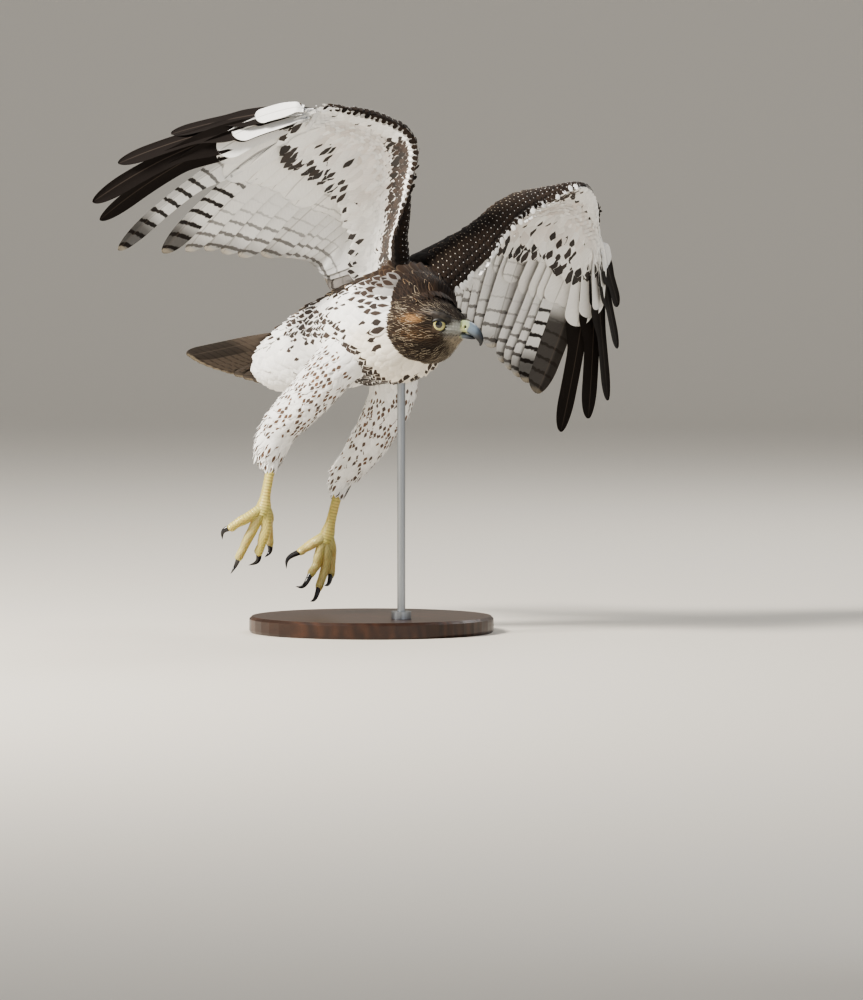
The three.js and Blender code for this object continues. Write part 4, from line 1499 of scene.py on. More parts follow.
    def build(self, skin: Skin, plumage: Material) -> None:
        """Lays every zone of the body's coat."""
        rng = np.random.default_rng(11)
        trunk = ring_roots(TRUNK_FORM, self.trunk_spacing, self.trunk_row, -1, 0.02, 0.97)
        x, _, z = trunk.place.T
        scapular = ramp(z, 34, 50) * ramp(x, -70, -10) * ramp(x, 60, 25)
        rear = ramp(x, -100, -150)
        length = 22 + 12 * scapular + 8 * rear - 4 * ramp(x, 60, 90)
        length = length + 8 * ramp(z, 12, 24) * ramp(x, -50, -90)
        trunk = replace(trunk, length=length, width=12.5 + 6 * scapular + 3 * rear)
        marks = self.trunk_marks(trunk.place, rng)
        rump = (x < -55) & (x > -175) & (z > 14)
        zones = {"front": (x > -20) & ~rump, "rear": (x <= -20) & ~rump, "rump": rump}
        for label, mask in zones.items():
            self.lay(
                skin, f"coat_trunk_{label}", trunk.keep(mask), marks.keep(mask), BODY,
                ContourFeathers(lift_degrees=13.0 if label == "rump" else 6.5),
                plumage, "pale_mottled_plumage", 21,
            )
        neck = ring_roots(NECK_FORM, self.neck_spacing, self.neck_spacing, -1, 0.0, 1.0)
        neck = replace(neck, length=neck.length * 14, width=neck.width * 5.6)
        self.lay(
            skin, "coat_neck", neck, self.neck_marks(neck.place, rng), BODY,
            ContourFeathers(pointed=0.7, lift_degrees=3.5, ruffle=1.2),
            plumage, "brown_plumage", 22,
        )
        head = ring_roots(HEAD_FORM, self.head_spacing, self.head_spacing, -1, 0.02, 0.985)
        head = head.keep(from_eye(head.place) > EYE_RADIUS + 2.2)
        x = head.place[:, 0]
        small = ramp(x, 2, 30)
        length = 10.5 - 7.0 * small + 4 * ramp(x, -15, -40)
        head = replace(head, length=length, width=4.6 - 2.2 * small)
        self.lay(
            skin, "coat_head", head, self.head_marks(head.place, rng), HEAD,
            ContourFeathers(rows=5, pointed=0.8, lift_degrees=8, ruffle=1.5, sink=0.4),
            plumage, "brown_plumage", 23,
        )
        for side, form in THIGH_FORMS.items():
            thigh = ring_roots(form, self.thigh_spacing, self.thigh_spacing, 1, 0.02, 0.99)
            down = thigh.uv[:, 0]
            length = 18 + 6 * ramp(down, 0.5, 0.8) - 9 * ramp(down, 0.88, 1.0)
            thigh = replace(thigh, length=length, width=thigh.width * 8.5)
            self.lay(
                skin, f"coat_thigh_{side}", thigh, self.thigh_marks(thigh.place, rng), BODY,
                ContourFeathers(pointed=0.25, lift_degrees=9), plumage, "white_plumage", 24,
            )


# How far the small under coverts reach, in depths of the flesh, by span
UNDER_COVERT_DEPTH: Keys = [
    (-0.1, [0.95]), (0.4, [1.0]), (0.75, [1.25]), (1.0, [1.55]), (1.2, [1.75]), (1.4, [1.7]),
    (1.6, [1.35]), (1.75, [1.0]), (1.84, [0.7]),
]


@dataclass(frozen=True)
class Tier:
    """One row of long coverts: its face, its reach at both ends as a share of the chord, half width
    and height, then how strong its bars are and how far it is shifted along the span."""

    face: int
    reach: tuple[float, float]
    half: float
    lift: float
    bars: float = 0.0
    stagger: float = 0.0


ARM_TIERS = (
    Tier(1, (0.62, 0.62), 12, 3.0),
    Tier(1, (0.47, 0.47), 10, 5.0, stagger=0.02),
    Tier(-1, (0.6, 0.68), 14, -2.4, bars=0.35),
)
HAND_TIERS = (
    Tier(1, (0.5, 0.46), 15, 2.6),
    Tier(1, (0.34, 0.3), 12, 4.2, stagger=0.03),
    Tier(-1, (0.68, 0.42), 17, -2.2),
)


@dataclass(frozen=True)
class FeatherRow:
    """The flight feathers of arm or hand with their tiers of long coverts."""

    label: str
    count: int
    first_span: float
    spread: float
    overlap_mm: float
    half: float
    outer_share: float
    step_down: float
    bow: float
    tiers: tuple[Tier, ...]


ROWS = (
    FeatherRow("arm", 12, 0.0, 0.96, 16, 18.0, 0.42, 0.0, 0.0, ARM_TIERS),
    FeatherRow("hand", 10, 1.0, 1.0, 14, 15.5, 0.36, 0.45, 1.0, HAND_TIERS),
)
COVERT_OUTER_SHARE = 0.45
FINGER_NARROWING = 0.42


@dataclass
class WingCoat:
    """One wing: small coverts over the flesh, tiers of long coverts, and the flight feathers."""

    name: str
    form: WingForm
    spacing_mm: float = 6.5
    free_lift: float = 6.5
    tilt_degrees: float = 6.5
    small_share: float = 0.86
    flesh_rows: int = 18
    under_rows: int = 30

    def covert_roots(self, face: int) -> tuple[Roots, Array, Array]:
        """Places of the small coverts on one face, in staggered rows along the wing.

        The upper face has rows over the flesh only. On the lower face they go on behind it, as far
        as the table of depths says.

        Args:
            face: 1 for the upper face, -1 for the lower.

        Returns:
            Roots, their spans and their shares of the flesh's depth.
        """
        places, spans, shares = [], [], []
        fine = np.linspace(-0.05, 1.84, 400)
        for k in range(self.flesh_rows if face == 1 else self.under_rows):
            share = 0.012 + 0.88 * (k / (self.flesh_rows - 1)) ** 1.2
            travelled = travel(self.form.at(fine, share, face))
            n = int(travelled[-1] / self.spacing_mm)
            along = (np.arange(n) + 0.5 * (k % 2)) / n * travelled[-1]
            span = np.interp(along, travelled, fine)
            if face == -1:
                span = span[share < through(UNDER_COVERT_DEPTH, span)[:, 0]]
            places.append(self.form.at(span, share, face))
            spans.append(span)
            shares.append(np.full(len(span), share))
        span, share = np.concatenate(spans), np.concatenate(shares)
        place = np.concatenate(places)
        behind = self.form.at(span, share + 0.02, face)
        before = self.form.at(span, np.maximum(share - 0.02, 0), face)
        beside = self.form.at(span + 0.01, share, face) - self.form.at(span - 0.01, share, face)
        flow = unit(behind - before)
        normal = unit(np.cross(flow, beside))
        inner = np.minimum(share + 0.12, 0.8)
        middle = (self.form.at(span, inner, 1) + self.form.at(span, inner, -1)) / 2
        square = self.form.axes(span)["normal"] * face
        outside = np.where(share[:, None] < 0.5, place - middle, square)
        normal *= np.sign(np.sum(normal * outside, -1, keepdims=True))
        uv = np.stack([np.clip((span + 0.1) / 2.1, 0, 1), np.clip(share / 1.8, 0, 1)], -1)
        n = len(span)
        return Roots(place, normal, flow, uv, np.ones(n), np.ones(n)), span, share

    def upper_marks(self, span: Array, share: Array, rng: np.random.Generator) -> Marking:
        """Upper coverts: dark brown, a few with a buff margin, and white tips in front."""
        n = len(span)
        dark = blend(Tone.BROWN, Tone.SOOT, rng.random(n) * 0.7)
        marks = Marking.plain(n, Tone.BROWN)
        marks.tint = marks.tip_tint = dark
        marks.edge = blend(Tone.BUFF, Tone.WHITE, 0.3 * rng.random(n))
        dots = ramp(share, 0.34, 0.12)
        marks.ink = blend(Tone.CREAM, Tone.WHITE, ramp(share, 0.2, 0.05))
        marks.ink_share = dots * (0.5 + 0.4 * rng.random(n))
        marks.drop_width = 0.42 + 0.2 * rng.random(n)
        marks.drop_start = np.full(n, 0.8)
        marks.drop_end = np.full(n, 1.12)
        sparse = 0.6 * (rng.random(n) < 0.12) * ramp(share, 0.2, 0.4)
        marks.edge_share = 0.03 + sparse
        return marks

    def under_marks(self, span: Array, share: Array, rng: np.random.Generator) -> Marking:
        """Markings of the under coverts.

        They are white. A white line runs in front, with a dark edge before it on the right wing,
        then a brown mottled band along the arm, then scattered spots. Where they end, there are
        small bars along the arm and a dark comma behind the wrist. The armpit has a few marks.
        """
        n = len(span)
        marks = Marking.plain(n, Tone.WHITE)
        depth = through(UNDER_COVERT_DEPTH, span)[:, 0]
        # The right wing is rolled so far that its dark front edge is seen from below
        front = ramp(share, 0.09, 0.07) if self.form.side == -1 else np.zeros(n)
        dark = blend(Tone.SOOT, Tone.BROWN, rng.random(n))
        marks.tint = blend(marks.tint, dark, front)
        marks.tip_tint = blend(marks.tip_tint, dark, front)
        line = 0.13 if self.form.side == -1 else 0.04
        mottled = ramp(share, line, line + 0.03) * ramp(share, 0.66, 0.48) * ramp(span, 1.12, 0.95)
        spots = ramp(share, 0.2, 0.4) * ramp(share, 1.3, 1.1)
        spots = spots * ramp(span, 0.55, 0.75) * ramp(span, 1.6, 1.4)
        last = ramp(share / depth, 0.8, 0.86)
        comma = last * ramp(span, 1.1, 1.2)
        small_bars = last * ramp(span, 0.8, 0.9) * ramp(span, 1.2, 1.1)
        armpit = ramp(span, 0.6, 0.35) * ramp(share, 0.6, 0.75)
        zones = 0.95 * mottled, 0.34 * spots, 0.82 * comma, 0.6 * small_bars, 0.42 * armpit
        strength = np.max(zones, axis=0)
        chance = rng.random(n) < strength + 0.03 * (1 - front)
        warmth = rng.random(n) * (0.4 + 0.6 * mottled)
        marks.ink = blend(Tone.SOOT, Tone.WARM_BROWN, warmth)
        marks.ink_share = np.where(chance, 0.95, 0.0) * (1 - front)
        marks.drop_width = 0.6 + 0.25 * rng.random(n) + 0.3 * comma + 0.4 * mottled
        marks.drop_start = 0.25 + 0.2 * rng.random(n) - 0.3 * mottled
        marks.drop_end = np.full(n, 1.5)
        rust = 0.3 * np.maximum(mottled, spots) * rng.random(n)
        marks.tint = blend(marks.tint, Tone.RUST, rust)
        marks.tip_tint = blend(marks.tip_tint, Tone.RUST, rust * 0.4)
        return marks

    def quill(
        self, span: float, start: float, end: float, half: float, lift: float, outer_share: float,
        sweep: float, finger: float, look: dict[str, object],
    ) -> Quill:
        """Lays one long feather on the wing's surface.

        The middle line runs along the chord between two distances from the leading edge, over the
        arched surface, and bows outward by a parabola. Its face is tilted so that the outward side
        is higher, as each feather lies under the next one inward.

        Args:
            span: Where it is rooted.
            start: Distance of its root behind the leading edge.
            end: Distance of its tip.
            half: Half width.
            lift: Height over the wing's middle surface.
            outer_share: Share of the width on the outward side of the shaft.
            sweep: Bow as a share of the length.
            finger: Narrowing past the notch.
            look: Colours and marks.

        Returns:
            The feather.
        """
        axes = self.form.axes(np.array([span]))
        share = QUILL_SHARES
        distance = start + (end - start) * share
        rise = self.form.rise(axes, distance)
        bow = sweep * (end - start) * 4 * share * (1 - share)
        settle = np.interp(share, [0, 0.12, 1], [0.3, 1, 1])
        centre = (
            axes["edge"]
            + axes["direction"] * distance[:, None]
            + axes["normal"] * (rise + lift * settle)[:, None]
            + axes["across"] * bow[:, None]
        )
        tangent = unit(np.gradient(centre, axis=0))
        tilt = math.radians(self.tilt_degrees)
        across = axes["across"] * math.cos(tilt) + axes["normal"] * math.sin(tilt)
        across = square_to(np.broadcast_to(across, centre.shape), tangent)
        up = np.cross(across, tangent)
        up *= np.sign(np.sum(up * axes["normal"], -1, keepdims=True))
        outer = half * 2 * outer_share * quill_width(share, 0.5, finger * 0.7)
        inner = half * 2 * (1 - outer_share) * quill_width(share, 0.5, finger)
        return Quill(centre, across, up, outer, inner, end - start, **look)

    def flight_look(self, span: float) -> dict[str, object]:
        """Colours of a flight feather: black-brown fingers, one barred, and paler ones inwards."""
        # On the left wing the dark fingers and the barred feather begin further in, as painted
        # shade
        first = self.form.first_finger
        finger = float(ramp(span, first, first + 0.1))
        barred = float(ramp(span, first - 0.19, first - 0.09)) * (1 - finger)
        inner = float(ramp(span, 0.4, 0.15))
        pale = blend(Tone.WHITE, Tone.SILVER, 0.3)
        return {
            "upper": blend(Tone.BROWN, Tone.SOOT, finger * 0.7),
            "under": blend(pale, Tone.GREY_BROWN, 0.75 * inner),
            "ink": blend(Tone.SOOT, Tone.GREY_BROWN, 0.15 * (1 - max(finger, barred))),
            "bars": 0.76 + 0.22 * barred - 0.4 * finger,
            "bar_from": 0.56 - 0.26 * barred,
            "dark_tip": 0.5 + 0.35 * barred + 0.5 * finger,
            "dark_from": 0.84 - 0.08 * barred - 0.68 * finger,
            "pale_tip": 0.35 * (1 - finger),
            "outer_dark": finger + 0.3 * barred,
        }

    def covert_look(self, face: int, bars: float) -> dict[str, object]:
        """Colours of a long covert: brown with a pale tip above, white with its marks below."""
        tone = Tone.BROWN if face == 1 else Tone.WHITE
        return {
            "upper": tone, "under": tone, "ink": Tone.SOOT, "bars": bars, "bar_from": 0.55,
            "dark_tip": 0.0, "pale_tip": 0.6 if face == 1 else 0.0,
        }

    def feathers(self, row: FeatherRow) -> list[Quill]:
        """Flight feathers of arm or hand from the body outwards, each with its long coverts."""
        quills = []
        for k in range(row.count):
            span = row.first_span + (k + 0.5) / row.count * row.spread
            chord = float(self.form.axes(np.array([span]))["length"][0])
            start = float(through(WING_CORE, np.array(span))[0]) - row.overlap_mm
            finger = FINGER_NARROWING * float(ramp(span, 1.42, 1.56))
            drop, sweep = -row.step_down * k, self.form.sweep * row.bow
            quills.append(self.quill(
                span, start, chord, row.half, drop, row.outer_share, sweep, finger,
                self.flight_look(span),
            ))
            narrowed = 1 - 0.25 * float(ramp(span, 1.5, 2))
            for tier in row.tiers:
                inner, outer = tier.reach
                end = chord * (inner + (outer - inner) * (span - row.first_span))
                quills.append(self.quill(
                    span + tier.stagger, start, end, tier.half * narrowed, drop + tier.lift,
                    COVERT_OUTER_SHARE, sweep, 0.0, self.covert_look(tier.face, tier.bars),
                ))
        return quills

    def build(
        self, skin: Skin, small: Material, long: Material, coat: BodyCoat
    ) -> None:
        """Makes the wing's pieces.

        Args:
            skin: Joined skin.
            small: Finish of the small coverts.
            long: Finish of the long feathers.
            coat: Body coat that gathers the roots' colours for the skin.
        """
        rng = np.random.default_rng(31 + self.form.side)
        vane = ContourFeathers(lift_degrees=6.5, cup=0.1, sink=0.3)
        for face, label, slot in (
            (1, "upper", "barred_plumage"), (-1, "under", "pale_mottled_plumage")
        ):
            roots, span, share = self.covert_roots(face)
            length = 7 + 20 * ramp(share, 0.02, 0.75)
            roots = replace(roots, length=length, width=5.2 + 6.8 * ramp(share, 0.03, 0.7))
            marks = (self.upper_marks if face == 1 else self.under_marks)(span, share, rng)
            front = share < self.small_share
            for piece, mask in (("small", front), ("median", ~front)):
                coat.lay(
                    skin, f"coverts_{self.name}_{label}_{piece}", roots.keep(mask),
                    marks.keep(mask), BODY, vane, small, slot, 33 + face, piece == "median",
                    self.free_lift * ramp(share[mask], 0.4, 0.95),
                )
        for row in ROWS:
            surface, quills = Surface(), self.feathers(row)
            for quill, cell in zip(quills, bake_cells(len(quills))):
                VaneMaker().add(surface, quill, BODY, cell)
            piece = surface.make(f"flight_{self.name}_{row.label}", long, "barred_plumage")
            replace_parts(piece, f"wing_{self.name}_{row.label}")


@dataclass
class Tail:
    """Twelve tail feathers in a shallow fan, the middle pair on top."""

    count: int = 12
    root: tuple[float, float, float] = (-128, 0, 26)
    length: float = 196
    fan_degrees: float = 13
    rise_degrees: float = -1.5
    half_width: float = 15.5
    tilt_degrees: float = 6.5
    root_spread: float = 20
    root_drop: float = 5
    shortening: float = 0.06

    def build(self, long: Material) -> None:
        """Lays the feathers side by side, lower and shorter the farther from the middle."""
        surface = Surface()
        cells = bake_cells(self.count)
        rise = math.radians(self.rise_degrees)
        level = np.array([math.sin(rise), 0, math.cos(rise)])
        share = QUILL_SHARES
        for k, cell in enumerate(cells):
            middle = (self.count - 1) / 2
            place = (k - middle) / middle
            yaw = math.radians(self.fan_degrees) * place
            back = math.cos(yaw)
            along = np.array([-back * math.cos(rise), math.sin(yaw), math.sin(rise) * back])
            sideways = unit(np.cross(level, along))
            tilt = -math.radians(self.tilt_degrees) * math.copysign(1, place)
            across = sideways * math.cos(tilt) + level * math.sin(tilt)
            up = np.cross(along, across)
            start = np.array(self.root) - sideways * self.root_spread * place
            start = start - level * self.root_drop * abs(place)
            length = self.length * (1 - self.shortening * place * place)
            centre = start + along * (length * share)[:, None]
            width = self.half_width * quill_width(share, 0.45)
            outermost = k in (0, self.count - 1)
            across, up = (np.broadcast_to(line, centre.shape) for line in (across, up))
            quill = Quill(
                centre, across, up, width, width, length,
                upper=Tone.BROWN, under=blend(Tone.GREY_BROWN, Tone.BROWN, 0.3),
                ink=Tone.SOOT, bars=0.55, dark_tip=0.75 if outermost else 0.1, pale_tip=0.35,
            )
            VaneMaker().add(surface, quill, BODY, cell)
        piece = surface.make("tail_feathers", long, "barred_plumage")
        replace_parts(piece, "tail")


def round_about(look: Array, turn: Array) -> Array:
    """Directions square to a line of sight, at angles counted from beside it to above it."""
    beside = unit(np.cross(look, [0, 0, 1.0]))
    above = np.cross(beside, look)
    return np.cos(turn)[:, None] * beside + np.sin(turn)[:, None] * above


@dataclass
class Eyes:
    """Both eyes: a wet globe with a black pupil, a pale yellow iris and a dark rim, and lids."""

    pupil_mm: float = 3.9
    iris_mm: float = 7.5

    def build(self) -> None:
        """Makes each globe as rings round its line of sight, coloured by the distance from it."""
        finish = PaintedFinish("wet_cornea", 0.06, 0.8, 0.16, 0.01, coat=1.0, specular=0.6).make()
        for side, name in ((1, "left"), (-1, "right")):
            mirror = np.array([1, side, 1])
            look, centre = unit(np.array(IRIS_LOOKS) * mirror), np.array(EYE_PLACE) * mirror
            polar = np.concatenate([np.linspace(0.03, 0.85, 34), np.linspace(0.9, 3.1, 22)])
            turn = circle(40)
            out = np.sin(polar)[:, None, None] * round_about(look, turn)
            rings = centre + EYE_RADIUS * (np.cos(polar)[:, None, None] * look + out)
            radius = np.broadcast_to((EYE_RADIUS * np.sin(polar))[:, None], rings.shape[:2])
            back = np.broadcast_to((polar > 1.57)[:, None], rings.shape[:2])
            spokes = 0.5 + 0.5 * np.sin(turn * 17)[None, :] * np.sin(turn * 5 + 1)[None, :]
            pupil, iris_edge = self.pupil_mm, self.iris_mm
            iris = blend(Tone.IRIS, Tone.IRIS_SPOKE, spokes * 0.5)
            iris = blend(iris, Tone.IRIS_RIM, ramp(radius, iris_edge - 2.0, iris_edge))
            colour = blend(Tone.PUPIL, iris, ramp(radius, pupil - 0.15, pupil + 0.2))
            colour = blend(colour, Tone.EYE_RIM, ramp(radius, iris_edge - 0.2, iris_edge + 0.4))
            colour = blend(colour, Tone.EYE_RIM, back.astype(float))
            surface = Surface()
            closed_tube(surface, rings, HEAD, {"Tint": colour})
            eye = surface.make(f"eye_globe_{name}", finish, "iris")
            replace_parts(eye, f"eye_{name}")
            self.lids(name, look, centre)

    def lids(self, name: str, look: Array, centre: Array) -> None:
        """Makes the lids' rim: a thin roll round the iris, nearer its middle above than below."""
        turn = circle(48)
        reach = 8.4 - 2.6 * np.clip(np.sin(turn), 0, 1) ** 1.4
        path_radius = EYE_RADIUS + 0.35
        out = np.sqrt(path_radius**2 - reach**2)
        path = centre + look * out[:, None] + round_about(look, turn) * reach[:, None]
        section = circle(10)
        thick = 0.75 + 0.9 * np.clip(np.sin(turn), 0, 1)
        outward_line = unit(path - centre)
        flat = unit(np.cross(outward_line, np.gradient(path, axis=0)))
        ring = path[:, None, :] + thick[:, None, None] * (
            np.cos(section)[None, :, None] * outward_line[:, None, :] * 0.8
            + np.sin(section)[None, :, None] * flat[:, None, :] * 1.5
        )
        rows, sides = ring.shape[:2]
        index = np.arange(rows * sides).reshape(rows, sides)
        after = np.roll(index, -1, axis=0)
        quads = np.stack([index, np.roll(index, -1, 1), np.roll(after, -1, 1), after], -1)
        points = ring.reshape(-1, 3)
        quads, _ = outward(points, quads.reshape(-1, 4), np.zeros((0, 3), int))
        colour = np.broadcast_to(rgba(Tone.LID), (rows, sides, 4))
        maps = {"OFBake": patch_grid(rows, sides)}
        surface = Surface()
        surface.add(HEAD.world(points), quads, None, maps, {"Tint": colour})
        finish = PaintedFinish("lid_skin", 0.5, 0.7, 0.3, 0.1).make()
        surface.make(f"eyelids_{name}", finish, "bill_horn")


@dataclass
class Bill:
    """Hooked bill: blue-grey horn with a dark tip, and a greenish-yellow cere with nostrils.

    Both halves' keys hold x, height of the middle, half width, reach up and reach down.
    """

    upper: Keys = field(default_factory=lambda: [
        (0.0, [27, -1.0, 10.8, 9.4, 4.2]), (0.14, [33, -0.7, 9.9, 9.6, 3.9]),
        (0.3, [39, -1.0, 8.7, 9.4, 3.8]), (0.46, [45, -2.4, 7.2, 8.6, 4.0]),
        (0.6, [50, -4.9, 5.8, 7.2, 4.4]), (0.74, [54, -8.4, 4.3, 5.6, 4.3]),
        (0.87, [56.4, -12.4, 2.8, 3.9, 3.3]), (0.95, [57.0, -15.8, 1.5, 2.2, 1.9]),
        (1.0, [56.4, -18.6, 0.5, 0.7, 0.6]),
    ])
    lower: Keys = field(default_factory=lambda: [
        (0.0, [25, -6.6, 9.4, 1.8, 4.8]), (0.35, [33, -7.1, 8.0, 2.0, 4.5]),
        (0.7, [42, -8.4, 5.8, 1.8, 3.7]), (0.9, [47.5, -10.0, 3.6, 1.3, 2.3]),
        (1.0, [50, -11.2, 1.6, 0.6, 0.9]),
    ])
    nostril: tuple[float, float, float] = (41.5, 7.6, 1.5)
    nostril_mm: float = 1.4
    nostril_depth: float = 2.6
    cere_end: float = 44.5

    def rings(self, keys: Keys, rows: int, sides: int) -> Array:
        """Rings square to a bending middle line, each an ellipse with its own reach up and down."""
        t = np.linspace(0, 1, rows)
        v = through(keys, t)
        ahead = through(keys, np.clip(t + 0.01, 0, 1))
        behind = through(keys, np.clip(t - 0.01, 0, 1))
        slope = np.arctan2(ahead[:, 1] - behind[:, 1], ahead[:, 0] - behind[:, 0])
        angle = circle(sides)
        cos, sin = np.cos(angle)[None, :], np.sin(angle)[None, :]
        squeeze = np.sign(cos) * np.abs(cos) ** 0.85
        reach = np.where(sin > 0, v[:, 3:4], v[:, 4:5]) * sin
        return np.stack([
            v[:, 0:1] - np.sin(slope)[:, None] * reach,
            squeeze * v[:, 2:3],
            v[:, 1:2] + np.cos(slope)[:, None] * reach,
        ], -1)

    def build(self) -> None:
        """Makes both halves, presses the nostrils in, paints horn and cere, and paints shade into
        the nostrils.
        """
        finish = PaintedFinish("bill_horn", 0.28, 1.4, 0.18, 0.06, coat=0.25).make()
        rings = self.rings(self.upper, 90, 56)
        side = np.sign(rings[..., 1])
        x, y, z = (np.full(side.shape, value) for value in self.nostril)
        away = np.linalg.norm(rings - np.stack([x, side * y, z], -1), axis=-1)
        dent = ramp(away, self.nostril_mm * 1.25, self.nostril_mm * 0.6)
        rings[..., 1] -= side * dent * self.nostril_depth
        lip = hump((away, self.nostril_mm * 1.6, 0.7)) * 0.35
        rings[..., 1] += side * lip
        border = self.cere_end + 1.2 * np.sin(rings[..., 2] * 0.5)
        step = ramp(rings[..., 0], border - 0.5, border + 0.5)
        rings[..., 1] -= side * step * 0.25
        horn = blend(Tone.HORN, Tone.HORN_LOW, ramp(-rings[..., 2], -1, 12))
        horn = blend(horn, Tone.HORN_POINT, ramp(rings[..., 0], 51, 57) * 0.7)
        cere = blend(Tone.CERE, Tone.CERE_TOP, ramp(rings[..., 2], 0, 7) * 0.7)
        cere = blend(Tone.LORE, cere, ramp(rings[..., 0] + 0.5 * rings[..., 2], 31, 39))
        cere = blend(cere, Tone.CERE_FRONT, ramp(rings[..., 0], 40, 46) * 0.4)
        colour = blend(cere, horn, step)
        # Painted shade: each shallow nostril dent is painted near-black, as the deep opening's
        # shade
        colour = blend(colour, Tone.NOSTRIL, dent)
        upper = Surface()
        closed_tube(upper, rings, HEAD, {"Tint": colour})
        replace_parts(upper.make("bill_top", finish, "bill_horn"), "bill_upper")
        low = self.rings(self.lower, 50, 40)
        base = blend(Tone.LOWER_BASE, Tone.LOWER_HORN, ramp(low[..., 0], 32, 39))
        base = blend(base, Tone.LOWER_POINT, ramp(low[..., 0], 39, 47))
        lower = Surface()
        closed_tube(lower, low, HEAD, {"Tint": base})
        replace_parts(lower.make("bill_bottom", finish, "bill_horn"), "bill_lower")


# Each leg: tarsus stations (x, y, z, radius), and four toes, the hind one first, as root, knuckle,
# root of the claw and tip of the claw
LEGS = {
    "right": {
        "tarsus": [
            [-96, -50, -116, 6.2], [-101, -49, -130, 5.6], [-110, -46, -158, 5.0],
            [-117, -43, -180, 5.4], [-121, -41, -192, 8.0], [-124, -41, -202, 6.5],
        ],
        "toes": [
            [[-118, -38, -194], [-138, -22, -204], [-146, -12, -222], [-150, -13, -236]],
            [[-121, -35, -199], [-129, -30, -222], [-141, -27, -238], [-152, -30, -250]],
            [[-125, -42, -202], [-140, -44, -228], [-153, -44, -246], [-163, -45, -262]],
            [[-123, -47, -200], [-133, -60, -212], [-142, -66, -220], [-152, -68, -231]],
        ],
    },
    "left": {
        "tarsus": [
            [-110, 49, -116, 6.2], [-115, 50, -130, 5.6], [-124, 51, -158, 5.0],
            [-132, 53, -180, 5.4], [-137, 54, -194, 8.0], [-140, 54, -204, 6.5],
        ],
        "toes": [
            [[-135, 56, -197], [-148, 70, -212], [-154, 76, -230], [-150, 68, -246]],
            [[-139, 48, -200], [-150, 40, -209], [-154, 33, -217], [-156, 21, -238]],
            [[-142, 52, -205], [-151, 55, -225], [-153, 50, -238], [-150, 33, -257]],
            [[-140, 58, -204], [-151, 66, -227], [-155, 64, -249], [-151, 54, -268]],
        ],
    },
}
TOE_RADIUS = (5.4, 4.9, 4.1)
CLAW_RADIUS = 3.3
CLAW_SAG = 0.16
# The horn's fine point goes on past the solid claw's blunt one
CLAW_REACH = 1.12


